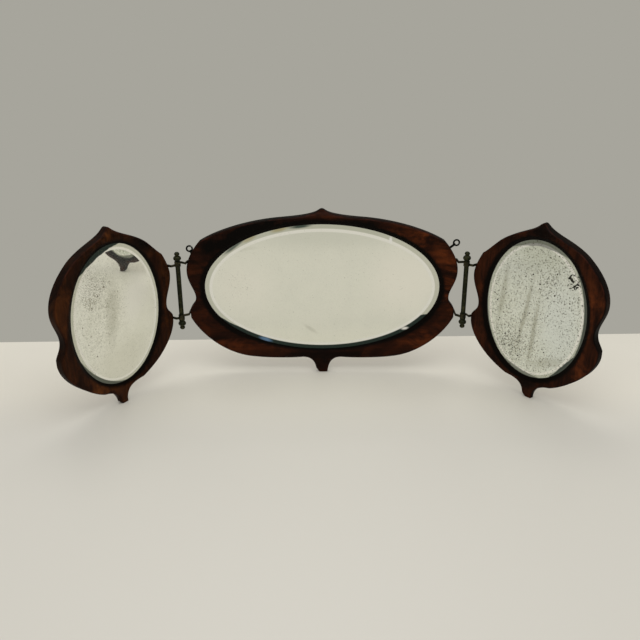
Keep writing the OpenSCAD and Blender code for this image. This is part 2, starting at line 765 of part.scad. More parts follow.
on_wing(1) board(wing_outline(right_foot_lean), wing_oval);  // right_frame
on_wing(1) mirror_glass(wing_oval);  // right_glass
on_wing(1) packing(wing_oval);  // right_packing
on_wing(1) back_panel(wing_oval);  // right_back_panel
on_wing(1) panel_pins(wing_oval, 8);  // right_panel_pins

centre_strap(-1, upper_eye_z, left_upper_plate_z);  // centre_left_upper_strap
centre_strap(-1, left_lower_eye_z, centre_lower_plate_z);  // centre_left_lower_strap
centre_strap(1, upper_eye_z, right_upper_plate_z);  // centre_right_upper_strap
centre_strap(1, right_lower_eye_z - eye_pitch, centre_lower_plate_z);  // centre_right_lower_strap
wing_strap(-1, wing_upper_eye_z, wing_upper_plate_z);  // left_upper_strap
wing_strap(-1, left_lower_eye_z - eye_pitch, wing_lower_plate_z);  // left_lower_strap
wing_strap(1, wing_upper_eye_z, wing_upper_plate_z);  // right_upper_strap
wing_strap(1, right_lower_eye_z, wing_lower_plate_z);  // right_lower_strap

centre_screws(-1, left_upper_plate_z);  // centre_left_strap_screws
centre_screws(1, right_upper_plate_z);  // centre_right_strap_screws
wing_screws(-1);  // left_strap_screws
wing_screws(1);  // right_strap_screws

pillar_pin(-1);  // left_pillar_pin
pillar_tube(-1);  // left_pillar_tube
pillar_washers(-1);  // left_pillar_washers
top_finial(-1);  // left_top_finial
bottom_finial(-1);  // left_bottom_finial

pillar_pin(1);  // right_pillar_pin
pillar_tube(1);  // right_pillar_tube
pillar_washers(1);  // right_pillar_washers
top_finial(1);  // right_top_finial
bottom_finial(1);  // right_bottom_finial

hanger(left_loop, left_hang, left_hanger_l);  // left_hanger
hanger_screw(left_loop, left_hang, left_hanger_l);  // left_hanger_screw
hanging_ring(left_loop, left_hang);  // left_ring
hanger(right_loop, right_hang, right_hanger_l);  // right_hanger
hanger_screw(right_loop, right_hang, right_hanger_l);  // right_hanger_screw
hanging_ring(right_loop, right_hang);  // right_ring
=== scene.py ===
"""Three-fold shaving mirror: a wide centre board and two wings of dark mahogany, each with an
oval bevelled mirror, turning on two brass pillars. Boards, mirrors, tubes, finials, hangers and
wire rings are made here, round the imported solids. MM turns millimetres into metres."""
import math

import bmesh
import bpy
import numpy as np
from mathutils import Matrix, Vector


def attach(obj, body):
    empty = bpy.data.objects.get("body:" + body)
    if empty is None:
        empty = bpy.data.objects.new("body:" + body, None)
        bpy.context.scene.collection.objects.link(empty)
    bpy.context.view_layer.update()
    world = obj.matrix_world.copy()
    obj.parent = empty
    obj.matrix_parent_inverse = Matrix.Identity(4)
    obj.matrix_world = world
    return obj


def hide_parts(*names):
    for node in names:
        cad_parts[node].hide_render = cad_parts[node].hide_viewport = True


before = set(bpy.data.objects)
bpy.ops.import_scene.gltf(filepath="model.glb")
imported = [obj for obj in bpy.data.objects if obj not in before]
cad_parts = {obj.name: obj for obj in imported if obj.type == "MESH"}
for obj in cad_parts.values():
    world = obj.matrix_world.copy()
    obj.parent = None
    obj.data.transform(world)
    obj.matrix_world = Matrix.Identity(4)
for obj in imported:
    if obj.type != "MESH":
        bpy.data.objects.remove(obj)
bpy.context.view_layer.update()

MM = 0.001

# Depths through a board, front at -7 and back at 7
FRONT_Y, BACK_Y = -7.0, 7.0
EDGE_ROUND, FACE_FALL, COVE_W, COVE_DEPTH = 3.0, 1.2, 6.5, 3.0
SIGHT_Y, LIP_Y, STEP_Y, BACK_BREAK_Y = -2.3, -1.357, 2.4, 6.8
GLASS_FRONT_Y, GLASS_BACK_Y, BEVEL_DROP = -2.4, 1.6, 1.6
CENTRE_BEVEL, WING_BEVEL, GLASS_COVER = 11.5, 8.5, 4.0
GLASS_REBATE, BACK_REBATE, BACK_BREAK = 4.5, 8.5, 0.3
BOARD_TOP = 261

# Half width, half height and middle height of each sort of oval
CENTRE_OVAL = (178.2, 100.4, 138.1)
WING_OVAL = (79.0, 103.0, 133.9)

# Where the wings turn and stand, and how far their feet lean out
HINGE_X, HINGE_Y, WING_MID = 214.2, -16.0, 110.0
LEFT_FOLD, RIGHT_FOLD = 56.2, 45.5
LEFT_LEAN, RIGHT_LEAN, LEAN_TOP = 7.6, 5.7, 43.52

# Foot of a wing on each side: half width, and how its curve leaves and arrives
LEFT_OUTER_FOOT, LEFT_INNER_FOOT = (7.4, (7.6, 11), (15, 22.5)), (6.3, (6.2, 14), (5, 24.5))
RIGHT_OUTER_FOOT, RIGHT_INNER_FOOT = (6.5, (6.5, 11), (15, 22.5)), (8.7, (8.8, 13), (9, 23.5))

# Worn corner of each foot: the line that it is worn down to, from low to high
CENTRE_WEAR = ((-3.5, 0), (-9.0, 6.0))
LEFT_WEAR = ((9.6, 0), (15.0, 4.4))
RIGHT_WEAR = ((5.0, 0), (-3.6, 5.2))
WEAR_REACH = 6

# How the foot of a board is let down, squared and thinned, and the spur thinned
SOLE_DROP, SOLE_TOP = 1.1, 9
SQUARE_SOLE, SQUARE_TOP = 0.7, 7
FOOT_THINNING, FOOT_TOP = 0.9, 24
SPUR_THINNING, SPUR_LOW = 0.85, 247

# Metres: the table's back edge at the middle, and how much it runs askew
TABLE_BACK_Y, TABLE_BACK_SLOPE = 0.1305, 0.0326


# ---- outlines

def curve(p, c, d, q, n):
    """Five points for each of n from p towards q, leaving along c, arriving along d, without q."""
    t = (np.arange(n * 5) / (n * 5))[:, None]
    s = 1 - t
    p, c, d, q = (np.array(v, float) for v in (p, c, d, q))
    return s ** 3 * p + 3 * s * s * t * c + 3 * s * t * t * d + t ** 3 * q


def both_sides(right, left):
    """Closed outline: up the right side to the tip, down the left one to the foot's middle."""
    return np.vstack([right, [(0, BOARD_TOP)], (left * [-1, 1])[::-1], [[0, 0]]])


def centre_side():
    """Right side of the centre board: foot, bottom rail, horn, waist, lobe, shoulder and spur."""
    return np.vstack([
        [(6.2, 0), (7.88, 0.72)],
        curve((8.6, 2.4), (10.6, 14), (14, 25), (30, 25), 6),
        curve((30, 25), (50, 23.2), (85, 23.2), (110, 26.4), 4),
        curve((110, 26.4), (150, 31), (186.5, 61), (202, 92), 11),
        [(202, 92)],
        curve((202.4, 104.5), (201, 112), (192.6, 115), (192.6, 125), 5),
        curve((192.6, 125), (192.6, 137), (204, 148), (204, 166), 6),
        curve((204, 166), (204, 184), (194, 200), (182, 213), 6),
        curve((182, 213), (152, 231), (104, 244.5), (60, 248), 8),
        curve((60, 248), (38, 250), (13, 252.5), (4.6, 259), 6),
        [(4.6, 259), (2, 260.7)],
    ])


def wing_low_side(foot, waist_x, waist_z):
    """Foot, bottom rail and horn of one side of a wing, up to its waist."""
    half, leave, arrive = foot
    return np.vstack([
        [(half - 1.4, 0), (half - 0.4, 0.4)],
        curve((half, 1.6), leave, arrive, (36, 25.6), 7),
        curve((36, 25.6), (58, 33.6), (99.1, 61), (102.6, 92), 11),
        [(102.6, 92)],
        curve((102.6, 101.5), (99.6, 109), (waist_x, waist_z - 11), (waist_x, waist_z), 5),
    ])


def wing_outer_side(foot):
    """Free side of a wing: its shoulder runs into the lobe in one sweep."""
    return np.vstack([
        wing_low_side(foot, 93.4, 125),
        curve((93.4, 125), (93.4, 138), (103.4, 150), (103.4, 166), 6),
        curve((103.4, 166), (103.4, 190), (86.2, 211.4), (66.2, 227.4), 8),
        curve((66.2, 227.4), (42.2, 244.4), (16.7, 246.3), (4.2, 258.8), 7),
        [(4.2, 258.8), (1.8, 260.6)],
    ])


def wing_inner_side(foot):
    """Hinge side of a wing: its shoulder meets the lobe in a corner."""
    return np.vstack([
        wing_low_side(foot, 91.4, 122),
        curve((91.4, 122), (91.4, 136), (103.4, 148), (103.4, 166), 6),
        curve((103.4, 166), (103.4, 178), (95.5, 191.5), (90.5, 201.2), 4),
        curve((90.5, 201.2), (86, 203.5), (74, 216), (64, 225), 4),
        curve((64, 225), (42, 243), (16.7, 246.3), (4.2, 258.8), 7),
        [(4.2, 258.8), (1.8, 260.6)],
    ])


def wing_outline(foot_lean, outer_foot, inner_foot):
    points = both_sides(wing_outer_side(outer_foot), wing_inner_side(inner_foot))
    points[:, 0] += foot_lean * np.maximum(0, 1 - points[:, 1] / LEAN_TOP)
    return points


def worn(line, low, high):
    """Wears away what lies outside the line from low to high, a corner of a foot."""
    low, high = np.array(low, float), np.array(high, float)
    along = (high - low) / np.linalg.norm(high - low)
    out = np.array([along[1], -along[0]]) * (1 if high[0] > low[0] else -1)
    over = np.maximum(0, (line - low) @ out) * (line[:, 1] < high[1] + WEAR_REACH)
    return line - over[:, None] * out


def even_steps(points, step):
    """The same closed line with evenly spaced points."""
    closed = np.vstack([points, points[:1]])
    run = np.concatenate([[0], np.cumsum(np.linalg.norm(np.diff(closed, axis=0), axis=1))])
    count = int(round(run[-1] / step))
    at = np.arange(count) * run[-1] / count
    return np.column_stack([np.interp(at, run, closed[:, 0]), np.interp(at, run, closed[:, 1])])


def soften(values, reach, step):
    """Values round a closed line, averaged over about reach millimetres."""
    sigma = reach / step
    half = int(math.ceil(sigma * 3))
    weight = np.exp(-0.5 * (np.arange(-half, half + 1) / sigma) ** 2)
    weight /= weight.sum()
    return sum(w * np.roll(values, k, axis=0) for k, w in zip(range(-half, half + 1), weight))


def inward(points, reach, step):
    """Direction into the board at each point of its outline."""
    along = soften(np.roll(points, -1, axis=0) - np.roll(points, 1, axis=0), reach, step)
    along /= np.linalg.norm(along, axis=1)[:, None]
    return np.column_stack([-along[:, 1], along[:, 0]])


def round_steps(count):
    """Angles of evenly spaced points round a circle."""
    return np.arange(count) * 2 * math.pi / count


def oval_ring(oval, grow, angles):
    a, b, mid = oval
    return np.column_stack([(a + grow) * np.cos(angles), mid + (b + grow) * np.sin(angles)])


def step_between(value, low, high):
    """Smooth step from 0 at low to 1 at high."""
    t = np.clip((value - low) / (high - low), 0, 1)
    return t * t * (3 - 2 * t)


# ---- meshes

def stood(ring, y):
    """A flat outline stood up at depth y, in metres."""
    return np.column_stack([ring[:, 0], np.full(len(ring), 1.0) * y, ring[:, 1]]) * MM


def round_rings(profile, sides):
    """Rings about Z from (radius, height) points, in metres."""
    angles = round_steps(sides)
    return [np.column_stack([r * np.cos(angles), r * np.sin(angles), np.full(sides, z)]) * MM
            for r, z in profile]


def set_creases(mesh, sharp):
    """Outward faces, smooth shading, and hard edges where faces meet at over sharp degrees."""
    work = bmesh.new()
    work.from_mesh(mesh)
    bmesh.ops.recalc_face_normals(work, faces=work.faces)
    limit = math.radians(sharp)
    for face in work.faces:
        face.smooth = True
    for edge in work.edges:
        if len(edge.link_faces) == 2:
            edge.smooth = edge.calc_face_angle(0) < limit
    work.to_mesh(mesh)
    work.free()


def loft(name, rings, place, sharp, close=False, caps=False, mirrored=False, marks=None):
    """Piece through closed rings of equally many points, open, closed on itself or capped at
    both ends; marks are values kept on each ring's points."""
    n, r = len(rings[0]), len(rings)
    points = np.vstack(rings)
    if mirrored:
        points = points * [-1, 1, 1]
    faces = []
    for j in range(r if close else r - 1):
        k = (j + 1) % r
        faces += [(j * n + i, j * n + (i + 1) % n, k * n + (i + 1) % n, k * n + i)
                  for i in range(n)]
    if caps:
        faces.append(tuple(range(n - 1, -1, -1)))
        faces.append(tuple((r - 1) * n + i for i in range(n)))
    if mirrored:
        faces = [f[::-1] for f in faces]
    mesh = bpy.data.meshes.new(name)
    mesh.from_pydata([tuple(p) for p in points], [], faces)
    for mark, values in (marks or {}).items():
        layer = mesh.attributes.new(mark, "FLOAT", "POINT")
        spread = np.concatenate([np.broadcast_to(v, n) for v in values]).astype(float)
        layer.data.foreach_set("value", spread)
    set_creases(mesh, sharp)
    piece = bpy.data.objects.new(name, mesh)
    bpy.context.scene.collection.objects.link(piece)
    piece.matrix_world = place
    return piece


# ---- places

def turn_z(degrees):
    return Matrix.Rotation(math.radians(degrees), 4, "Z")


def moved(x, y, z=0):
    return Matrix.Translation(Vector((x, y, z)) * MM)


CENTRE_PLACE = Matrix.Identity(4)
LEFT_PLACE = moved(-HINGE_X, HINGE_Y) @ turn_z(LEFT_FOLD) @ moved(-WING_MID, -HINGE_Y)
RIGHT_PLACE = moved(HINGE_X, HINGE_Y) @ turn_z(-RIGHT_FOLD) @ moved(WING_MID, -HINGE_Y)


# ---- boards and mirrors

# Spacing of a board's points, and how far its outline and the way into it are averaged
BOARD_STEP, OUTLINE_SOFTNESS, WORN_SOFTNESS, INWARD_REACH = 1.8, 0.75, 0.5, 3.0

# Back edge and side of a board: how far in, and depth
BACK_EDGE = ((1.0, 7.0), (0.55, 6.85), (0.15, 6.45), (0.0, 6.0), (0.0, 2.5), (0.0, -1.0))
ROUND_STEPS = 8
FACE_STEPS = (0.06, 0.15, 0.28, 0.42, 0.56, 0.7, 0.82, 0.92)
COVE_STEPS = (0.0, 0.06, 0.16, 0.3, 0.46, 0.62, 0.78, 0.92, 1.0)

# from_edge, the run from the middle of the rounded edge: where the face starts, what shifts the
# side's depth into it, that middle's angle, and a value where it doesn't count
FACE_RUN, SIDE_SHIFT, ROUND_MIDDLE, FAR = 2.36, 6.3, 0.785, 60.0


def thinned(points, y):
    """Depths of a ring at y: foot thinned from behind, tip of the spur from the front."""
    if y > 0:
        return y * (1 - FOOT_THINNING * step_between(-points[:, 1], -FOOT_TOP, 0))
    return y * (1 - SPUR_THINNING * step_between(points[:, 1], SPUR_LOW, BOARD_TOP))


def make_board(name, outline, oval, place, mirrored, wear):
    """Shaped board: rounded outer edge, dished face, cove, sight edge, lip and two rebates."""
    line = soften(even_steps(outline, BOARD_STEP), OUTLINE_SOFTNESS, BOARD_STEP)
    line = soften(worn(line, *wear), WORN_SOFTNESS, BOARD_STEP)
    line[:, 1] = np.maximum(line[:, 1] - SOLE_DROP * step_between(-line[:, 1], -SOLE_TOP, 0), 0)
    into = inward(line, INWARD_REACH, BOARD_STEP)
    into = into * (1 - SQUARE_SOLE * step_between(-line[:, 1:], -SQUARE_TOP, 0))
    angles = np.unwrap(np.arctan2((line[:, 1] - oval[2]) / oval[1], line[:, 0] / oval[0]))
    rings, rim, sight = [], [], []

    def ring(points, y, from_edge, from_glass):
        rings.append(stood(points, thinned(points, y)))
        rim.append(from_edge)
        sight.append(from_glass)

    for d, y in BACK_EDGE:
        ring(line + d * into, y, -SIDE_SHIFT - y - 1.5 * d, FAR)
    for k in range(ROUND_STEPS + 1):
        a = math.radians(90 * k / ROUND_STEPS)
        d = EDGE_ROUND * (1 - math.cos(a))
        ring(line + d * into, FRONT_Y + EDGE_ROUND * (1 - math.sin(a)),
             EDGE_ROUND * (a - ROUND_MIDDLE), FAR)
    crown = line + EDGE_ROUND * into
    arris = oval_ring(oval, COVE_W, angles)
    gap = np.linalg.norm(crown - arris, axis=1)
    for t in FACE_STEPS:
        ring(crown + t * (arris - crown), FRONT_Y + FACE_FALL * t ** 1.25,
             FACE_RUN + t * gap, COVE_W + (1 - t) * gap)
    for t in COVE_STEPS:
        ring(oval_ring(oval, COVE_W * (1 - t), angles),
             FRONT_Y + FACE_FALL + COVE_DEPTH * t ** 1.2, FAR, COVE_W * (1 - t))
    ring(oval_ring(oval, 0, angles), SIGHT_Y, FAR, 0)
    ring(oval_ring(oval, 0, angles), LIP_Y, FAR, 0)
    for g, y in ((GLASS_REBATE, LIP_Y), (GLASS_REBATE, STEP_Y), (BACK_REBATE, STEP_Y),
                 (BACK_REBATE, BACK_BREAK_Y), (BACK_REBATE + BACK_BREAK, BACK_Y)):
        ring(oval_ring(oval, g, angles), y, -FAR, FAR)
    return loft(name, rings, place, 32, close=True, mirrored=mirrored,
                marks={"from_edge": rim, "from_glass": sight})


def make_mirror(name, oval, bevel, place, mirrored):
    """Plate glass with its ground bevel, seen as the silvering behind it."""
    angles = round_steps(240)
    sight = [bevel + 60, bevel + 25, bevel + 6]
    rings = [stood(oval_ring(oval, -g, angles), GLASS_FRONT_Y) for g in sight]
    for g in (-bevel, -bevel * 0.6, -2.0, 1.0, GLASS_COVER):
        rings.append(stood(oval_ring(oval, g, angles),
                           GLASS_FRONT_Y + BEVEL_DROP * (g + bevel) / (bevel + GLASS_COVER)))
        sight.append(-g)
    rings.append(stood(oval_ring(oval, GLASS_COVER, angles), GLASS_BACK_Y))
    sight.append(-GLASS_COVER)
    return loft(name, rings, place, 3, caps=True, mirrored=mirrored, marks={"from_glass": sight})


centre_board = make_board("centre_board", both_sides(centre_side(), centre_side()),
                          CENTRE_OVAL, CENTRE_PLACE, False, CENTRE_WEAR)
left_board = make_board("left_board", wing_outline(LEFT_LEAN, LEFT_OUTER_FOOT, LEFT_INNER_FOOT),
                        WING_OVAL, LEFT_PLACE, True, LEFT_WEAR)
right_board = make_board("right_board",
                         wing_outline(RIGHT_LEAN, RIGHT_OUTER_FOOT, RIGHT_INNER_FOOT),
                         WING_OVAL, RIGHT_PLACE, False, RIGHT_WEAR)
centre_mirror = make_mirror("centre_mirror", CENTRE_OVAL, CENTRE_BEVEL, CENTRE_PLACE, False)
left_mirror = make_mirror("left_mirror", WING_OVAL, WING_BEVEL, LEFT_PLACE, True)
right_mirror = make_mirror("right_mirror", WING_OVAL, WING_BEVEL, RIGHT_PLACE, False)


# ---- pillars

BORE_R, BORE_DEPTH, TUBE_R, COLLAR_R = 2.05, 5.4, 3.5, 4.2
BIG_BALL, SMALL_BALL = (11.6, 8.8), (7.8, 6.4)
UPPER_COLLAR, LOWER_COLLAR = 1.0, 2.8
LEFT_TUBE_Z, RIGHT_TUBE_Z, TUBE_TOP_Z = 101.25, 103.25, 178.45
UPPER_KNOB_Z, LEFT_LOWER_KNOB_Z, RIGHT_LOWER_KNOB_Z = 185.8, 93.9, 95.9


def ball(size, mid, low, high, n):
    """Side of a flattened ball (width, height) between two angles."""
    width, height = size
    return [(width / 2 * math.cos(math.radians(a)), mid + height / 2 * math.sin(math.radians(a)))
            for a in np.linspace(low, high, n)]


def finial_profile(collar_h):
    """Blind bore for the pin, collar, big ball, neck and small ball."""
    big, small = collar_h + 4.0, collar_h + 10.7
    return ([(0.02, BORE_DEPTH), (BORE_R, BORE_DEPTH), (BORE_R, 0), (4.0, 0), (COLLAR_R, 0.2),
             (COLLAR_R, collar_h - 0.55), (4.05, collar_h - 0.3), (3.4, collar_h - 0.05)]
            + ball(BIG_BALL, big, -47, 64, 22)
            + [(2.15, big + 4.25), (2.0, big + 4.5), (2.1, small - 2.75)]
            + ball(SMALL_BALL, small, -50, 89.4, 20))


def make_finial(name, side, z, collar_h, upside_down):
    flip = Matrix.Rotation(math.pi if upside_down else 0, 4, "X")
    return loft(name, round_rings(finial_profile(collar_h), 64),
                moved(side * HINGE_X, HINGE_Y, z) @ flip, 50, caps=True)


def make_tube(name, side, low_z):
    """Spacer tube with slightly rounded ends."""
    h = TUBE_TOP_Z - low_z
    profile = [(BORE_R, 0.01), (BORE_R, 0), (3.2, 0), (3.42, 0.08), (TUBE_R, 0.3)]
    profile += [(TUBE_R, h * t) for t in (0.1, 0.3, 0.5, 0.7, 0.9)]
    profile += [(TUBE_R, h - 0.3), (3.42, h - 0.08), (3.2, h), (BORE_R, h), (BORE_R, h - 0.01)]
    return loft(name, round_rings(profile, 56), moved(side * HINGE_X, HINGE_Y, low_z), 40,
                close=True)


# ---- hangers and rings

# Middle of each hanger's loop, how far it hangs, and its length
LEFT_LOOP, LEFT_HANG, LEFT_HANGER_L = (-197.973, 8.95, 194.388), 115, 7.6
RIGHT_LOOP, RIGHT_HANG, RIGHT_HANGER_L = (198.291, 8.95, 204.422), 37, 12.0


def by_loop(loop, hang):
    """Place on a hanger's loop, X pointing away from the plate."""
    return moved(*loop) @ Matrix.Rotation(math.radians(-hang), 4, "Y")


def make_wire_ring(name, loop, hang):
    """Hanging ring of round wire, its ends meeting in a small gap."""
    radius, wire_r, around, section, gap_at = 4.25, 1.3, 72, 16, 2.0
    gap = math.radians(7)
    angles = round_steps(section)
    r = radius + wire_r * np.cos(angles)
    rings = []
    for k in range(around + 1):
        a = math.pi + gap / 2 + (2 * math.pi - gap) * k / around + gap_at
        rings.append(np.column_stack([radius + r * math.cos(a), wire_r * np.sin(angles),
                                      r * math.sin(a)]) * MM)
    return loft(name, rings, by_loop(loop, hang), 60, caps=True)


def make_hanger(name, loop, hang, length):
    """Round plate with a neck that ends in a roll for the ring."""
    disc, neck, roll_r, bore_r, half_roll, step = 2.9, 1.75, 1.95, 1.45, 1.5, 0.35
    lean = math.asin(neck / disc)
    plan = [(-length + disc * math.cos(a), disc * math.sin(a))
            for a in np.linspace(lean, 2 * math.pi - lean, 42)]
    plan += [(-2.4, -neck), (0.2, -half_roll), (0.2, half_roll), (-2.4, neck)]
    plan = even_steps(np.array(plan), step)
    into = inward(plan, 0.6, step)
    rings = [stood(plan + d * into, y - roll_r)
             for d, y in ((0.1, 0), (0, 0.1), (0, 0.75), (0.1, 0.93), (0.3, 1))]
    place = by_loop(loop, hang)
    plate = loft(name, rings, place, 50, caps=True)
    hoop = [(roll_r, -1.35), (roll_r - 0.12, -half_roll), (bore_r + 0.1, -half_roll),
            (bore_r, -1.4), (bore_r, 1.4), (bore_r + 0.1, half_roll),
            (roll_r - 0.12, half_roll), (roll_r, 1.35)]
    roll = loft(name + "_roll", round_rings(hoop, 40), place, 50, close=True)
    work = bmesh.new()
    work.from_mesh(plate.data)
    work.from_mesh(roll.data)
    work.to_mesh(plate.data)
    work.free()
    bpy.data.objects.remove(roll)
    return plate


left_wire = make_wire_ring("left_wire_ring", LEFT_LOOP, LEFT_HANG)
right_wire = make_wire_ring("right_wire_ring", RIGHT_LOOP, RIGHT_HANG)
left_plate = make_hanger("left_hanger_plate", LEFT_LOOP, LEFT_HANG, LEFT_HANGER_L)
right_plate = make_hanger("right_hanger_plate", RIGHT_LOOP, RIGHT_HANG, RIGHT_HANGER_L)
left_tube = make_tube("left_tube", -1, LEFT_TUBE_Z)
right_tube = make_tube("right_tube", 1, RIGHT_TUBE_Z)
left_upper_knob = make_finial("left_upper_knob", -1, UPPER_KNOB_Z, UPPER_COLLAR, False)
right_upper_knob = make_finial("right_upper_knob", 1, UPPER_KNOB_Z, UPPER_COLLAR, False)
left_lower_knob = make_finial("left_lower_knob", -1, LEFT_LOWER_KNOB_Z, LOWER_COLLAR, True)
right_lower_knob = make_finial("right_lower_knob", 1, RIGHT_LOWER_KNOB_Z, LOWER_COLLAR, True)


# ---- node helpers

def add(tree, kind, values=None, **settings):
    """A node with its settings made and its inputs set or linked."""
    node = tree.nodes.new(kind)
    for key, value in settings.items():
        setattr(node, key, value)
    for key, value in (values or {}).items():
        socket = node.inputs[key]
        if isinstance(value, bpy.types.NodeSocket):
            tree.links.new(value, socket)
        else:
            socket.default_value = value
    return node


def sums(tree, operation, a, b=0.0, c=None, clamp=False):
    values = {0: a, 1: b}
    if c is not None:
        values[2] = c
    return add(tree, "ShaderNodeMath", values, operation=operation, use_clamp=clamp).outputs[0]


def vectors(tree, operation, a, b=None):
    values = {0: a} if b is None else {0: a, 1: b}
    return add(tree, "ShaderNodeVectorMath", values, operation=operation).outputs


def blend_colours(tree, amount, a, b):
    return add(tree, "ShaderNodeMix", {0: amount, 6: a, 7: b}, data_type="RGBA").outputs[2]


def fit(tree, value, low, high, to_low=0.0, to_high=1.0, smooth=True):
    """Value taken from the range low to high into another, eased at its ends if smooth."""
    return add(tree, "ShaderNodeMapRange", {0: value, 1: low, 2: high, 3: to_low, 4: to_high},
               interpolation_type="SMOOTHSTEP" if smooth else "LINEAR").outputs[0]


def noise(tree, place, scale, detail=3.0, rough=0.55, warp=0.0):
    return add(tree, "ShaderNodeTexNoise", {
        "Vector": place, "Scale": scale, "Detail": detail, "Roughness": rough,
        "Distortion": warp}).outputs


def stretched(tree, place, size, turn=(0, 0, 0), shift=(0, 0, 0)):
    return add(tree, "ShaderNodeMapping", {
        "Vector": place, "Scale": size, "Rotation": turn, "Location": shift}).outputs[0]


def split(tree, place):
    return add(tree, "ShaderNodeSeparateXYZ", {0: place}).outputs


def attribute(tree, name):
    return add(tree, "ShaderNodeAttribute", attribute_name=name).outputs["Fac"]


def place_of(tree):
    return add(tree, "ShaderNodeTexCoord").outputs["Object"]


def new_group(name, inputs, outputs):
    """Shared effect: its tree, its inputs by name and its output node."""
    tree = bpy.data.node_groups.new(name, "ShaderNodeTree")
    kinds = {"f": "NodeSocketFloat", "c": "NodeSocketColor", "v": "NodeSocketVector"}
    for label, kind, value in inputs:
        socket = tree.interface.new_socket(name=label, in_out="INPUT", socket_type=kinds[kind])
        if value is not None:
            socket.default_value = value
    for label, kind in outputs:
        tree.interface.new_socket(name=label, in_out="OUTPUT", socket_type=kinds[kind])
    return tree, tree.nodes.new("NodeGroupInput").outputs, tree.nodes.new("NodeGroupOutput")


def use(tree, group, values):
    """A shared effect placed in a material with its own values."""
    return add(tree, "ShaderNodeGroup", values, node_tree=group).outputs


def new_material(name):
    material = bpy.data.materials.new(name)
    material.use_nodes = True
    tree = material.node_tree
    tree.nodes.clear()
    shader = tree.nodes.new("ShaderNodeBsdfPrincipled")
    add(tree, "ShaderNodeOutputMaterial", {0: shader.outputs[0]})
    return material, tree, shader


def finish(tree, shader, colour, rough, height, strength, distance):
    """Feeds a shader its colour, roughness and relief."""
    tree.links.new(colour, shader.inputs["Base Color"])
    tree.links.new(rough, shader.inputs["Roughness"])
    bump = add(tree, "ShaderNodeBump", {"Strength": strength, "Distance": distance,
                                        "Height": height})
    tree.links.new(bump.outputs[0], shader.inputs["Normal"])


def srgb(r, g, b):
    """Linear colour of screen values from 0 to 255."""
    return tuple(v / 12.92 if v <= 0.04045 else ((v + 0.055) / 1.055) ** 2.4
                 for v in (r / 255, g / 255, b / 255)) + (1.0,)


# ---- shared effects

def make_wood_figure():
    """Wood figure whose grain runs along X of Position, from dark to glow, with fine pores."""
    tree, i, o = new_group("wood_figure", [
        ("Position", "v", None), ("Dark", "c", (0.01, 0.004, 0.002, 1)),
        ("Middle", "c", (0.03, 0.01, 0.006, 1)), ("Glow", "c", (0.09, 0.03, 0.012, 1)),
        ("Glow Amount", "f", 0.5), ("Pore Depth", "f", 0.5)],
        [("Color", "c"), ("Height", "f")])
    sway = noise(tree, i["Position"], 9.0, 2.0)["Color"]
    sway = vectors(tree, "MULTIPLY", sway, (0.012, 0.012, 0.012))[0]
    bent = vectors(tree, "ADD", i["Position"], sway)[0]
    bands = noise(tree, stretched(tree, bent, (5, 42, 42)), 1.0, 4.0, 0.6, 0.6)[0]
    streaks = noise(tree, stretched(tree, bent, (14, 260, 260)), 1.0, 5.0, 0.65)[0]
    flame = noise(tree, stretched(tree, bent, (22, 30, 30)), 1.0, 3.0, 0.6, 1.4)[0]
    pores = noise(tree, stretched(tree, bent, (110, 1500, 1500)), 1.0, 2.0, 0.5)[0]
    pores = fit(tree, pores, 0.6, 0.7)
    lit = sums(tree, "MULTIPLY_ADD", flame, 0.5, sums(tree, "MULTIPLY", bands, 0.5))
    lit = sums(tree, "MULTIPLY", fit(tree, lit, 0.42, 0.64), i["Glow Amount"])
    base = blend_colours(tree, fit(tree, streaks, 0.25, 0.75), i["Dark"], i["Middle"])
    figured = blend_colours(tree, lit, base, i["Glow"])
    deep = sums(tree, "MULTIPLY", pores, i["Pore Depth"])
    tree.links.new(blend_colours(tree, deep, figured, i["Dark"]), o.inputs["Color"])
    height = sums(tree, "SUBTRACT", sums(tree, "MULTIPLY", streaks, 0.4), deep)
    tree.links.new(height, o.inputs["Height"])
    return tree


def make_grime_and_shade():
    """Dirt and painted shade held in hollows: full at Distance 0, gone at Reach, broken up by
    noise.
    """
    tree, i, o = new_group("grime_and_shade", [
        ("Position", "v", None), ("Distance", "f", 10.0), ("Reach", "f", 6.0),
        ("Patchiness", "f", 0.5)], [("Mask", "f")])
    patch = sums(tree, "SUBTRACT", noise(tree, i["Position"], 160.0, 4.0, 0.6)[0], 0.5)
    patch = sums(tree, "MULTIPLY", patch, sums(tree, "MULTIPLY", i["Patchiness"], 2.0))
    reach = sums(tree, "MULTIPLY", i["Reach"], sums(tree, "ADD", 1.0, patch))
    near = sums(tree, "DIVIDE", i["Distance"], reach)
    tree.links.new(sums(tree, "SUBTRACT", 1.0, near, clamp=True), o.inputs["Mask"])
    return tree


def make_edge_wear_and_sheen():
    """Rubbed edges with a painted sheen: strongest at Distance 0, in patches."""
    tree, i, o = new_group("rubbed_edge_and_sheen", [
        ("Position", "v", None), ("Distance", "f", 10.0), ("Width", "f", 1.5),
        ("Amount", "f", 0.5)], [("Mask", "f")])
    patch = fit(tree, noise(tree, i["Position"], 38.0, 5.0, 0.65)[0], 0.42, 0.68)
    near = fit(tree, sums(tree, "DIVIDE", i["Distance"], i["Width"]), 0.2, 1.0, 1.0, 0.0)
    mask = sums(tree, "MULTIPLY", sums(tree, "MULTIPLY", near, patch), i["Amount"], clamp=True)
    tree.links.new(mask, o.inputs["Mask"])
    return tree


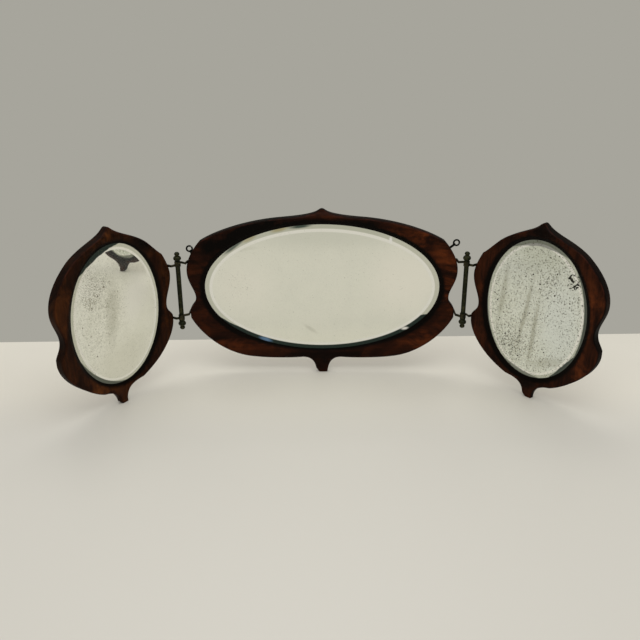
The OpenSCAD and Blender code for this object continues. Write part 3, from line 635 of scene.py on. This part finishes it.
def make_soft_patch():
    """Cloudy patch round Centre, gone at Reach (metres each way), broken up by noise."""
    tree, i, o = new_group("soft_patch", [
        ("Position", "v", None), ("Centre", "v", None), ("Reach", "v", (0.05, 1.0, 0.05)),
        ("Turn", "f", 0.0), ("Break Up", "f", 0.5)], [("Mask", "f")])
    away = vectors(tree, "SUBTRACT", i["Position"], i["Centre"])[0]
    away = add(tree, "ShaderNodeVectorRotate", {"Vector": away, "Angle": i["Turn"]},
               rotation_type="Y_AXIS").outputs[0]
    away = vectors(tree, "DIVIDE", away, i["Reach"])[0]
    run = vectors(tree, "LENGTH", away)["Value"]
    cloud = sums(tree, "SUBTRACT", noise(tree, i["Position"], 45.0, 4.0, 0.6)[0], 0.5)
    cloud = sums(tree, "MULTIPLY", cloud, sums(tree, "MULTIPLY", i["Break Up"], 2.4))
    run = sums(tree, "ADD", run, cloud)
    tree.links.new(fit(tree, run, 0.25, 1.1, 1.0, 0.0), o.inputs["Mask"])
    return tree


def make_bevel_shade():
    """Masks of a ground bevel: all of it, its bright inner line for a painted highlight, and an
    arc of it for a painted reflection, Toward one side, of a Spread and with a Depth over the
    bevel."""
    tree, i, o = new_group("bevel_shade", [
        ("Position", "v", None), ("Distance", "f", 20.0), ("Width", "f", 10.0),
        ("Middle", "v", (0, 0, 0.13)), ("Half Size", "v", (0.08, 1.0, 0.1)),
        ("Toward", "v", (0, 0, -1)), ("Spread", "f", 0.5), ("Taper", "f", 0.1),
        ("Depth", "f", 1.2)],
        [("Bevel", "f"), ("Inner Line", "f"), ("Arc", "f")])
    part = sums(tree, "DIVIDE", i["Distance"], i["Width"])
    bevel = fit(tree, part, 0.985, 1.015, 1.0, 0.0, smooth=False)
    tree.links.new(bevel, o.inputs["Bevel"])
    inner = sums(tree, "MULTIPLY", bevel, fit(tree, part, 0.52, 0.64))
    tree.links.new(inner, o.inputs["Inner Line"])
    out = vectors(tree, "SUBTRACT", i["Position"], i["Middle"])[0]
    out = vectors(tree, "DIVIDE", out, i["Half Size"])[0]
    out = vectors(tree, "MULTIPLY", out, (1, 0, 1))[0]
    out = vectors(tree, "NORMALIZE", out)[0]
    along = vectors(tree, "DOT_PRODUCT", out, i["Toward"])["Value"]
    ragged = noise(tree, i["Position"], 90.0, 3.0, 0.6)[0]
    ragged = sums(tree, "MULTIPLY_ADD", ragged, 0.06, along)
    start = sums(tree, "SUBTRACT", 1.03, i["Spread"])
    cover = sums(tree, "DIVIDE", sums(tree, "SUBTRACT", ragged, start), i["Taper"])
    cover = sums(tree, "MINIMUM", cover, i["Depth"])
    arc = fit(tree, sums(tree, "SUBTRACT", cover, part), 0.0, 0.12)
    tree.links.new(sums(tree, "MULTIPLY", arc, bevel), o.inputs["Arc"])
    return tree


def make_foxing():
    """Decayed silvering: ragged specks and a few larger round ones, more as Density rises."""
    tree, i, o = new_group("silver_foxing", [
        ("Position", "v", None), ("Density", "f", 0.5), ("Fine Size", "f", 620.0),
        ("Spot Pitch", "f", 170.0)],
        [("Specks", "f"), ("Spots", "f"), ("Mottle", "f"), ("Haze", "f")])
    pepper = noise(tree, i["Position"], i["Fine Size"], 2.0, 0.6, 0.3)[0]
    pepper = sums(tree, "SUBTRACT", pepper, sums(tree, "MULTIPLY_ADD", i["Density"], -0.2, 0.725))
    tree.links.new(fit(tree, pepper, 0.0, 0.03), o.inputs["Specks"])
    mottle = fit(tree, noise(tree, i["Position"], 330.0, 4.0, 0.65)[0], 0.42, 0.66)
    tree.links.new(sums(tree, "MULTIPLY", mottle, i["Density"], clamp=True), o.inputs["Mottle"])
    ragged = noise(tree, i["Position"], 800.0, 2.0)["Color"]
    ragged = vectors(tree, "MULTIPLY", ragged, (0.0035, 0.0035, 0.0035))[0]
    ragged = vectors(tree, "ADD", i["Position"], ragged)[0]
    cells = add(tree, "ShaderNodeTexVoronoi", {
        "Vector": ragged, "Scale": i["Spot Pitch"]}).outputs
    chance = add(tree, "ShaderNodeSeparateColor", {0: cells["Color"]}).outputs[0]
    size = fit(tree, sums(tree, "SUBTRACT", i["Density"], chance), 0.0, 0.8, 0.0, 0.27)
    spots = sums(tree, "SUBTRACT", size, cells["Distance"])
    tree.links.new(fit(tree, spots, 0.0, 0.05), o.inputs["Spots"])
    cloud = noise(tree, i["Position"], 30.0, 5.0, 0.65)[0]
    tree.links.new(fit(tree, cloud, 0.42, 0.72), o.inputs["Haze"])
    return tree


def make_patina():
    """Aged brass: colour from bare metal to dark patina, with streaks and dull patches."""
    tree, i, o = new_group("brass_patina", [
        ("Position", "v", None), ("Bare", "c", (0.3, 0.22, 0.1, 1)),
        ("Patina", "c", (0.03, 0.03, 0.018, 1)), ("Cover", "f", 0.6)],
        [("Color", "c"), ("Roughness", "f"), ("Height", "f")])
    broad = noise(tree, i["Position"], 130.0, 5.0, 0.65)[0]
    fine = noise(tree, i["Position"], 1400.0, 3.0, 0.6)[0]
    mask = sums(tree, "MULTIPLY_ADD", broad, 0.8, sums(tree, "MULTIPLY", fine, 0.25))
    mask = sums(tree, "ADD", mask, sums(tree, "SUBTRACT", i["Cover"], 0.55))
    mask = fit(tree, mask, 0.3, 0.75)
    tree.links.new(blend_colours(tree, mask, i["Bare"], i["Patina"]), o.inputs["Color"])
    tree.links.new(fit(tree, mask, 0, 1, 0.3, 0.6), o.inputs["Roughness"])
    height = sums(tree, "MULTIPLY_ADD", fine, 0.6, sums(tree, "MULTIPLY", mask, 0.5))
    tree.links.new(height, o.inputs["Height"])
    return tree


wood_figure = make_wood_figure()
grime_and_shade = make_grime_and_shade()
rubbed_edge_and_sheen = make_edge_wear_and_sheen()
soft_patch = make_soft_patch()
bevel_shade = make_bevel_shade()
silver_foxing = make_foxing()
brass_patina = make_patina()


# ---- finishes

GRAIN_ALONG, GRAIN_UP = (0, 0, 0), (0, math.radians(90), 0)
# First colour: near-black of the smoky finish, also painted shade.
# Second colour: red of rubbed edges, also a painted sheen.
SMOKE_AND_SHADE, RUBBED_AND_SHEEN = srgb(9, 6, 4), srgb(84, 40, 28)
DARK_WOOD = srgb(19, 9, 5)
# Mottle of old silvering and grey of the bevel; the third colour is a painted highlight on the
# bevel's inner line.
MOTTLE, BEVEL_GREY, BEVEL_HIGHLIGHT = (0.5, 0.5, 0.4, 1), (0.42, 0.44, 0.34, 1), (1.0, 1.0, 0.95, 1)
# The first colour is a painted reflection of a dark room in the bevel; the second is bare glass.
DARK_ROOM_REFLECTION, BARE_GLASS = (0.022, 0.036, 0.032, 1), (0.035, 0.035, 0.028, 1)
# Smears on the glass; the yellow and teal are painted reflections in the bevel.
SMEAR, YELLOW, TEAL = (0.34, 0.33, 0.24, 1), (0.46, 0.4, 0.2, 1), (0.07, 0.1, 0.085, 1)
# Clear and cream lighten the reflection in washes and white is a glint: painted reflections.
CLEAR, CREAM, WHITE = (1, 0.985, 0.9, 1), (1, 1, 0.96, 1), (1, 1, 1, 1)


def patch_mask(tree, place, x, z, reach_x, reach_z, turn, break_up=0.5):
    """Cloudy patch at a place on a board, in millimetres, turned by degrees."""
    return use(tree, soft_patch, {
        "Position": place, "Centre": (x * MM, 0, z * MM),
        "Reach": (reach_x * MM, 1.0, reach_z * MM), "Turn": -math.radians(turn),
        "Break Up": break_up})["Mask"]


def patches(tree, place, start, spots, way="ADD"):
    """Start value with each patch (x, z, reach x, reach z, turn, amount) worked into it."""
    for spot in spots:
        amount = sums(tree, "MULTIPLY", patch_mask(tree, place, *spot[:5]), spot[5])
        start = sums(tree, way, start, amount)
    return start


def washed(tree, place, colour, washes, within=1.0):
    """Colour with soft patches (x, z, reach x, reach z, turn, amount, colour) laid over it."""
    for wash in washes:
        amount = sums(tree, "MULTIPLY", patch_mask(tree, place, *wash[:5], 0.15), wash[5])
        colour = blend_colours(tree, sums(tree, "MULTIPLY", amount, within), colour, wash[6])
    return colour


def mahogany(name, grain_turn, shift, middle, glow, glow_amount, side_shade, shade_from, shade_low,
             lit_patches, shade_and_dark_patches):
    """French polished mahogany with a glow painted as light in patches, edges rubbed and given a
    painted sheen, edges and sides darkened as painted shade, and a smoky finish with painted shade
    of the cove that is full up to shade_from mm from the glass, or shade_low near the table."""
    material, tree, shader = new_material(name)
    place = place_of(tree)
    # Lit patches raise the figure's glow: painted light.
    figure = use(tree, wood_figure, {
        "Position": stretched(tree, place, (1, 1, 1), grain_turn, shift),
        "Dark": DARK_WOOD, "Middle": middle, "Glow": glow,
        "Glow Amount": patches(tree, place, glow_amount, lit_patches), "Pore Depth": 0.5})
    edge_run = attribute(tree, "from_edge")
    # Smoky finish near the glass with painted shade of the cove, narrower low down; the dark
    # patches add painted shade and dark finish.
    start = fit(tree, split(tree, place)[2], 0.034, 0.075, shade_low, shade_from)
    smoke_and_shade = use(tree, grime_and_shade, {
        "Position": place, "Reach": 6.5, "Patchiness": 0.7,
        "Distance": sums(tree, "SUBTRACT", attribute(tree, "from_glass"), start)})["Mask"]
    smoke_and_shade = sums(tree, "MULTIPLY", smoke_and_shade, 1.5, clamp=True)
    smoke_and_shade = patches(tree, place, smoke_and_shade, shade_and_dark_patches, "MAXIMUM")
    # Rounded edge and side darkened: painted shade.
    side = sums(tree, "MULTIPLY", fit(tree, edge_run, -0.6, 1.6, 1.0, 0.0),
                fit(tree, edge_run, -14.5, -12.5))
    smoke_and_shade = sums(tree, "MAXIMUM", smoke_and_shade, sums(tree, "MULTIPLY", side, side_shade))
    colour = blend_colours(tree, smoke_and_shade, figure["Color"], SMOKE_AND_SHADE)
    # Rubbed edges, lighter red in patches: partly wear, partly a painted sheen.
    rubbed_and_sheen = use(tree, rubbed_edge_and_sheen, {
        "Position": place, "Distance": sums(tree, "ABSOLUTE", edge_run), "Width": 1.3,
        "Amount": 0.35})["Mask"]
    colour = blend_colours(tree, rubbed_and_sheen, colour, RUBBED_AND_SHEEN)
    dull = noise(tree, place, 55.0, 4.0, 0.6)[0]
    rough = sums(tree, "ADD", fit(tree, dull, 0.3, 0.7, 0.3, 0.44),
                 sums(tree, "MULTIPLY", sums(tree, "MAXIMUM", rubbed_and_sheen, side), 0.2))
    finish(tree, shader, colour, rough, figure["Height"], 0.25, 0.0004)
    shader.inputs["Specular IOR Level"].default_value = 0.04
    return material


def mirror_finish(name, oval, bevel, tint, haze_tint, density, speck, dark_arcs, fox_patches,
                  washes, blotches=(), glints=(), lean=(0, 0), fine_size=620.0,
                  bevel_slope=0.175):
    """Old silvering under plate glass, with a ground bevel that turns the reflection inward.
    Dark arcs, glints and the bevel's bright line are painted reflections, and the washes paint the
    reflection lighter and darker, with smears.
    A dark arc is toward x, toward z, spread, taper, amount and depth."""
    material, tree, shader = new_material(name)
    place = place_of(tree)
    run = attribute(tree, "from_glass")
    fox = use(tree, silver_foxing, {
        "Position": place, "Density": patches(tree, place, density, fox_patches),
        "Fine Size": fine_size})
    colour = blend_colours(tree, sums(tree, "MULTIPLY", fox["Haze"], 0.5), tint, haze_tint)
    colour = blend_colours(tree, sums(tree, "MULTIPLY", fox["Mottle"], 0.6), colour, MOTTLE)
    # Washes paint the reflection lighter and darker in areas, a painted reflection, with smears on
    # the glass.
    colour = washed(tree, place, colour, washes)
    # Dark arcs of the bevel: painted reflection of a dark room.
    arcs = 0.0
    for toward_x, toward_z, spread, taper, amount, depth in dark_arcs:
        length = math.hypot(toward_x, toward_z)
        shade = use(tree, bevel_shade, {
            "Position": place, "Distance": run, "Width": bevel, "Middle": (0, 0, oval[2] * MM),
            "Half Size": (oval[0] * MM, 1, oval[1] * MM),
            "Toward": (toward_x / length, 0, toward_z / length),
            "Spread": spread, "Taper": taper, "Depth": depth})
        arcs = sums(tree, "MAXIMUM", arcs, sums(tree, "MULTIPLY", shade["Arc"], amount))
    grey = sums(tree, "MULTIPLY", shade["Bevel"], 0.5)
    colour = blend_colours(tree, grey, colour, BEVEL_GREY)
    # Bright inner line of the bevel: painted highlight.
    line = sums(tree, "MULTIPLY", shade["Inner Line"], 0.95)
    colour = blend_colours(tree, line, colour, BEVEL_HIGHLIGHT)
    colour = blend_colours(tree, arcs, colour, DARK_ROOM_REFLECTION)
    # Glints and smudges in the bevel: painted reflections.
    colour = washed(tree, place, colour, glints, shade["Bevel"])
    decay = sums(tree, "MAXIMUM", sums(tree, "MULTIPLY", fox["Specks"], 0.8), fox["Spots"])
    colour = blend_colours(tree, decay, colour, speck)
    if blotches:
        ragged = fit(tree, noise(tree, place, 150.0, 2.0, 0.5, 2.0)[0], 0.49, 0.51)
        bare = fit(tree, patches(tree, place, 0.0, blotches, "MAXIMUM"), 0.3, 0.5)
        bare = sums(tree, "MULTIPLY", ragged, bare)
        colour = blend_colours(tree, bare, colour, BARE_GLASS)
        decay = sums(tree, "MAXIMUM", decay, bare)
    turn = sums(tree, "SUBTRACT", bevel, sums(tree, "MINIMUM", run, bevel))
    turn = sums(tree, "MULTIPLY", turn, bevel_slope * MM)
    parts = split(tree, place)
    lean_x, lean_z = (math.tan(math.radians(a)) for a in lean)
    leaning = sums(tree, "MULTIPLY_ADD", parts[0], lean_x,
                   sums(tree, "MULTIPLY", parts[2], lean_z))
    turn = sums(tree, "ADD", turn, leaning)
    wave = sums(tree, "MULTIPLY", noise(tree, place, 12.0, 2.0, 0.5)[0], 0.02 * MM)
    turn = sums(tree, "ADD", turn, wave)
    finish(tree, shader, colour, fit(tree, decay, 0, 1, 0.02, 0.3), turn, 1.0, 1.0)
    shader.inputs["Metallic"].default_value = 0.95
    return material


def brass_finish(name, bare, patina, cover):
    material, tree, shader = new_material(name)
    aged = use(tree, brass_patina, {
        "Position": place_of(tree), "Bare": bare, "Patina": patina, "Cover": cover})
    finish(tree, shader, aged["Color"], aged["Roughness"], aged["Height"], 0.2, 0.0002)
    shader.inputs["Metallic"].default_value = 0.85
    return material


def plain_board_finish(name, light, dark):
    """Unpolished softwood, darkened with age: grain up the board."""
    material, tree, shader = new_material(name)
    place = place_of(tree)
    figure = use(tree, wood_figure, {
        "Position": stretched(tree, place, (1, 1, 1), GRAIN_UP), "Dark": dark, "Middle": light,
        "Glow": light, "Glow Amount": 0.3, "Pore Depth": 0.25})
    stain = fit(tree, noise(tree, place, 22.0, 5.0, 0.6)[0], 0.42, 0.7)
    colour = blend_colours(tree, sums(tree, "MULTIPLY", stain, 0.45), figure["Color"], dark)
    finish(tree, shader, colour, fit(tree, stain, 0, 1, 0.62, 0.8), figure["Height"],
           0.35, 0.0004)
    return material


def card_finish(name, dark, light):
    material, tree, shader = new_material(name)
    fibre = noise(tree, stretched(tree, place_of(tree), (300, 900, 900)), 1.0, 4.0, 0.6)[0]
    colour = blend_colours(tree, fit(tree, fibre, 0.3, 0.7), dark, light)
    finish(tree, shader, colour, fit(tree, fibre, 0.3, 0.7, 0.75, 0.9), fibre, 0.3, 0.0002)
    return material


def steel_finish(name, bare, rusty):
    material, tree, shader = new_material(name)
    rust = fit(tree, noise(tree, place_of(tree), 700.0, 4.0, 0.6)[0], 0.4, 0.65)
    colour = blend_colours(tree, rust, bare, rusty)
    finish(tree, shader, colour, fit(tree, rust, 0, 1, 0.35, 0.7), rust, 0.3, 0.0001)
    shader.inputs["Metallic"].default_value = 0.9
    return material


centre_wood = mahogany(
    "centre_mahogany", GRAIN_ALONG, (0, 0, 0), srgb(39, 17, 9), srgb(100, 47, 19),
    glow_amount=0.22, side_shade=0.8, shade_from=3.5, shade_low=-1.8,
    lit_patches=((140, 222, 60, 22, 0, 0.6), (182, 190, 26, 40, 0, 0.5),
                 (195, 145, 15, 50, 0, 1.0), (152, 54, 40, 20, 0, 0.5),
                 (-175, 195, 22, 30, 0, 0.35), (-135, 50, 34, 20, 0, 0.4)),
    shade_and_dark_patches=((-112, 222, 92, 26, -20, 1.5), (-20, 237, 100, 12, 0, 1.5),
                  (0, 20, 20, 30, 0, 0.7), (50, 238, 60, 11, 4, 1.0),
                  (-190, 60, 14, 20, 0, 0.5), (0, 28, 90, 10, 0, 0.8)))
left_wood = mahogany(
    "left_mahogany", GRAIN_UP, (0.3, 0.1, 0), srgb(41, 19, 9), srgb(92, 50, 19),
    glow_amount=0.28, side_shade=0.55, shade_from=0.5, shade_low=0.5,
    lit_patches=((-92, 170, 24, 60, 0, 0.5), (-60, 40, 60, 30, 0, 0.6),
                 (-6, 246, 14, 16, 0, 0.5), (94, 175, 12, 26, 0, 0.5)),
    shade_and_dark_patches=((62, 228, 50, 26, 0, 0.95), (-58, 214, 30, 14, -38, 0.5)))
right_wood = mahogany(
    "right_mahogany", GRAIN_UP, (0.7, 0.4, 0), srgb(46, 21, 11), srgb(92, 45, 20),
    glow_amount=0.3, side_shade=0.9, shade_from=2.5, shade_low=2.5,
    lit_patches=((90, 165, 22, 50, 0, 0.7), (70, 60, 36, 40, 0, 0.7),
                 (-90, 160, 16, 40, 0, 0.3)),
    shade_and_dark_patches=((-60, 228, 50, 24, 0, 0.5), (2, 252, 24, 24, 0, 0.9),
                  (-60, 45, 40, 30, 0, 0.4), (2, 24, 24, 14, 0, 0.9)))
centre_silver = mirror_finish(
    "centre_silvering", CENTRE_OVAL, CENTRE_BEVEL, (0.93, 0.94, 0.85, 1), (0.87, 0.88, 0.8, 1),
    density=0.1, speck=(0.3, 0.3, 0.25, 1),
    dark_arcs=((-0.14, -0.99, 0.455, 0.35, 0.99, 0.64), (0.34, -0.94, 0.29, 0.03, 0.99, 0.64)),
    fox_patches=((-125, 142, 24, 30, 0, 0.25),),
    washes=((130, 150, 75, 75, 0, 0.8, CLEAR), (-120, 140, 60, 60, 0, 0.5, CLEAR),
            (0, 226, 150, 34, 0, 0.6, (0.76, 0.78, 0.7, 1)), (-18, 72, 16, 4, 35, 0.25, SMEAR),
            (-120, 200, 30, 4, -8, 0.12, SMEAR)),
    glints=((-88, 54, 13, 4.5, 18, 1.0, (0.14, 0.25, 0.42, 1)),
            (128.5, 72.5, 7.5, 3.2, -8, 1.0, (1, 1, 0.97, 1)), (102, 214, 3, 7, 0, 1.0, WHITE),
            (-62, 230.5, 17, 4, -14, 0.75, YELLOW), (-108, 216, 16, 4, -28, 0.6, YELLOW),
            (-32, 235, 22, 3.4, -7, 1.0, TEAL), (-131, 204, 26, 3.4, -37, 0.85, TEAL)))
left_silver = mirror_finish(
    "left_silvering", WING_OVAL, WING_BEVEL, (0.99, 1.0, 0.92, 1), (0.85, 0.86, 0.76, 1),
    density=0.3, speck=(0.26, 0.25, 0.19, 1),
    dark_arcs=((-0.3, 0.95, 0.15, 0.15, 0.985, 1.2), (-0.5, -0.85, 0.2, 0.3, 0.8, 1.2)),
    fox_patches=((-36, 182, 38, 40, 0, 0.6), (-40, 120, 44, 70, 0, 0.3),
                 (-2, 150, 26, 50, 0, 0.25), (45, 130, 30, 60, 0, -0.25)),
    washes=((-10, 60, 70, 50, 0, 0.6, (0.8, 0.8, 0.7, 1)), (-9, 140, 14, 60, 8, 0.3, SMEAR),
            (35, 150, 30, 50, 20, 0.7, CREAM), (-40, 185, 30, 18, 0, 0.5, (1, 1, 0.94, 1))),
    lean=(3.5, 0.5), fine_size=760.0, bevel_slope=0.3)
right_silver = mirror_finish(
    "right_silvering", WING_OVAL, WING_BEVEL, (0.9, 0.94, 0.87, 1), (0.78, 0.81, 0.71, 1),
    density=0.68, speck=(0.13, 0.125, 0.1, 1),
    dark_arcs=((0.0, 1.0, 0.18, 0.15, 0.6, 1.2), (1.0, 0.1, 0.35, 0.6, 0.85, 1.2),
               (0.7, -0.7, 0.07, 0.1, 0.9, 1.2), (-0.2, -1.0, 0.1, 0.12, 0.6, 1.2),
               (-1.0, -0.3, 0.3, 0.9, 0.7, 1.2)),
    fox_patches=((-31, 77, 34, 32, 0, 0.35), (20, 185, 26, 26, 0, 0.2),
                 (-48, 165, 20, 26, 0, -0.15), (30, 100, 22, 40, 0, -0.2)),
    washes=((0, 224, 60, 40, 0, 0.6, (0.62, 0.65, 0.54, 1)),
            (40, 120, 36, 90, 0, 0.4, (0.86, 0.92, 0.92, 1)), (-14, 125, 4.5, 72, 8, 0.5, SMEAR),
            (2, 98, 5, 62, 4, 0.5, SMEAR), (-52, 149, 6, 60, 5, 0.4, SMEAR),
            (30, 62, 40, 10, -20, 0.35, SMEAR)),
    blotches=((54, 190, 13, 18, 0, 1.0),))
pillar_brass = brass_finish("pillar_brass", srgb(104, 98, 62), srgb(34, 38, 24), 0.72)
strap_brass = brass_finish("strap_brass", srgb(100, 92, 64), srgb(34, 35, 25), 0.66)
wire_brass = brass_finish("wire_brass", srgb(44, 42, 26), srgb(16, 16, 10), 0.85)
back_wood = plain_board_finish("back_board_softwood", srgb(124, 92, 63), srgb(90, 64, 42))
card = card_finish("packing_card_brown", srgb(150, 128, 96), srgb(178, 156, 122))
steel = steel_finish("darkened_steel", srgb(92, 88, 84), srgb(66, 46, 32))


# ---- dressing

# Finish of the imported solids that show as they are: the first word that a name holds
NODE_FINISHES = (("screw", wire_brass), ("strap", strap_brass), ("hanger", strap_brass),
                 ("pillar", pillar_brass), ("finial", pillar_brass), ("ring", wire_brass),
                 ("packing", card), ("back_panel", back_wood), ("panel_pins", steel))


def dress(piece, material):
    """Gives a piece its finish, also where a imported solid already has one."""
    if piece.data.materials:
        for slot in piece.material_slots:
            slot.material = material
    else:
        piece.data.materials.append(material)


for name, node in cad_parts.items():
    for word, material in NODE_FINISHES:
        if word in name:
            dress(node, material)
            break

for piece, material, body, node, slot in (
        (centre_board, centre_wood, "centre", "centre_frame", "mahogany"),
        (left_board, left_wood, "left_wing", "left_frame", "mahogany"),
        (right_board, right_wood, "right_wing", "right_frame", "mahogany"),
        (centre_mirror, centre_silver, "centre", "centre_glass", "silvered_glass"),
        (left_mirror, left_silver, "left_wing", "left_glass", "silvered_glass"),
        (right_mirror, right_silver, "right_wing", "right_glass", "silvered_glass"),
        (left_tube, pillar_brass, "centre", "left_pillar_tube", "aged_brass"),
        (right_tube, pillar_brass, "centre", "right_pillar_tube", "aged_brass"),
        (left_upper_knob, pillar_brass, "centre", "left_top_finial", "aged_brass"),
        (right_upper_knob, pillar_brass, "centre", "right_top_finial", "aged_brass"),
        (left_wire, wire_brass, "left_ring", "left_ring", "aged_brass"),
        (right_wire, wire_brass, "right_ring", "right_ring", "aged_brass"),
        (left_plate, wire_brass, "centre", "left_hanger", "aged_brass"),
        (right_plate, wire_brass, "centre", "right_hanger", "aged_brass"),
        (left_lower_knob, pillar_brass, "centre", "left_bottom_finial", "aged_brass"),
        (right_lower_knob, pillar_brass, "centre", "right_bottom_finial", "aged_brass")):
    dress(piece, material)
    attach(piece, body)
    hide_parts(node)


# ---- table, light and camera

# Metres and degrees: where the camera stands and looks; its focal length in pixels of the frame
CAMERA_AT, CAMERA_TURN = (0.00602, -1.06625, 0.51901), (22.118, -0.4976, -0.2329)
FOCAL_PIXELS, FRAME_PIXELS, SENSOR_WIDTH = 742.216, 640, 36


def make_table():
    """Pale table top whose back edge runs a little askew behind the mirror."""
    left, right, front, thick = -3.0, 3.0, -4.0, 0.03
    corners = [(left, front), (right, front), (right, TABLE_BACK_Y + TABLE_BACK_SLOPE * right),
               (left, TABLE_BACK_Y + TABLE_BACK_SLOPE * left)]
    mesh = bpy.data.meshes.new("table_top")
    mesh.from_pydata([(x, y, z) for z in (0, -thick) for x, y in corners], [],
                     [(0, 1, 2, 3), (7, 6, 5, 4), (0, 4, 5, 1), (1, 5, 6, 2), (2, 6, 7, 3),
                      (3, 7, 4, 0)])
    table = bpy.data.objects.new("table_top", mesh)
    bpy.context.scene.collection.objects.link(table)
    bevel = table.modifiers.new("edge", "BEVEL")
    bevel.width, bevel.segments = 0.004, 3
    material, tree, shader = new_material("table_paint")
    place = place_of(tree)
    cloud = fit(tree, noise(tree, place, 1.6, 3.0, 0.5)[0], 0.3, 0.7)
    paint = blend_colours(tree, cloud, srgb(212, 208, 196), srgb(218, 214, 202))
    # Darker towards the front of the table: painted shade.
    shaded_front = fit(tree, split(tree, place)[1], -0.06, -0.22)
    paint = blend_colours(tree, shaded_front, paint, srgb(200, 197, 188))
    tree.links.new(paint, shader.inputs["Base Color"])
    shader.inputs["Roughness"].default_value = 0.45
    dress(table, material)


def make_world():
    """Grey wall for the eye and for reflections, softer even light for everything else."""
    world = bpy.data.worlds.new("studio")
    bpy.context.scene.world = world
    world.use_nodes = True
    tree = world.node_tree
    tree.nodes.clear()
    rays = add(tree, "ShaderNodeLightPath").outputs
    seen = sums(tree, "MAXIMUM", rays["Is Camera Ray"],
                sums(tree, "MAXIMUM", rays["Is Glossy Ray"], rays["Is Transmission Ray"]))
    wall = add(tree, "ShaderNodeBackground", {"Color": srgb(167, 165, 156), "Strength": 1.0})
    glow = add(tree, "ShaderNodeBackground", {"Color": (1.0, 0.99, 0.97, 1), "Strength": 0.66})
    mixed = add(tree, "ShaderNodeMixShader", {0: seen, 1: glow.outputs[0], 2: wall.outputs[0]})
    add(tree, "ShaderNodeOutputWorld", {0: mixed.outputs[0]})


def make_lamp(name, at, aim, size, power, colour=(1, 1, 1)):
    data = bpy.data.lights.new(name, "AREA")
    data.shape, data.size, data.size_y = "RECTANGLE", size[0], size[1]
    data.energy, data.color = power, colour
    lamp = bpy.data.objects.new(name, data)
    lamp.location = at
    lamp.rotation_euler = (Vector(aim) - Vector(at)).to_track_quat("-Z", "Y").to_euler()
    bpy.context.scene.collection.objects.link(lamp)


def make_camera():
    """Camera at the photograph's angle, from its pitch, yaw and roll."""
    pitch, yaw, roll = (math.radians(a) for a in CAMERA_TURN)
    ahead = Vector((math.sin(yaw) * math.cos(pitch), math.cos(yaw) * math.cos(pitch),
                    -math.sin(pitch)))
    level = Vector((math.cos(yaw), -math.sin(yaw), 0))
    above = level.cross(ahead)
    right = math.cos(roll) * level + math.sin(roll) * above
    up = -math.sin(roll) * level + math.cos(roll) * above
    data = bpy.data.cameras.new("camera")
    data.sensor_width, data.lens = SENSOR_WIDTH, FOCAL_PIXELS / FRAME_PIXELS * SENSOR_WIDTH
    data.clip_start, data.clip_end = 0.02, 50
    camera = bpy.data.objects.new("camera", data)
    camera.matrix_world = Matrix([(r, u, -f, at) for r, u, f, at
                                  in zip(right, up, ahead, CAMERA_AT)] + [(0, 0, 0, 1)])
    bpy.context.scene.collection.objects.link(camera)
    bpy.context.scene.camera = camera


make_table()
make_world()
make_lamp("ceiling_light", (0.1, -0.7, 1.8), (0, -0.2, 0), (2.2, 1.6), 16.5)
make_lamp("back_light", (-0.15, 0.8, 1.7), (0, 0, 0), (1.4, 0.7), 7, (1, 0.98, 0.94))
make_camera()
bpy.context.scene.view_settings.view_transform = "Standard"
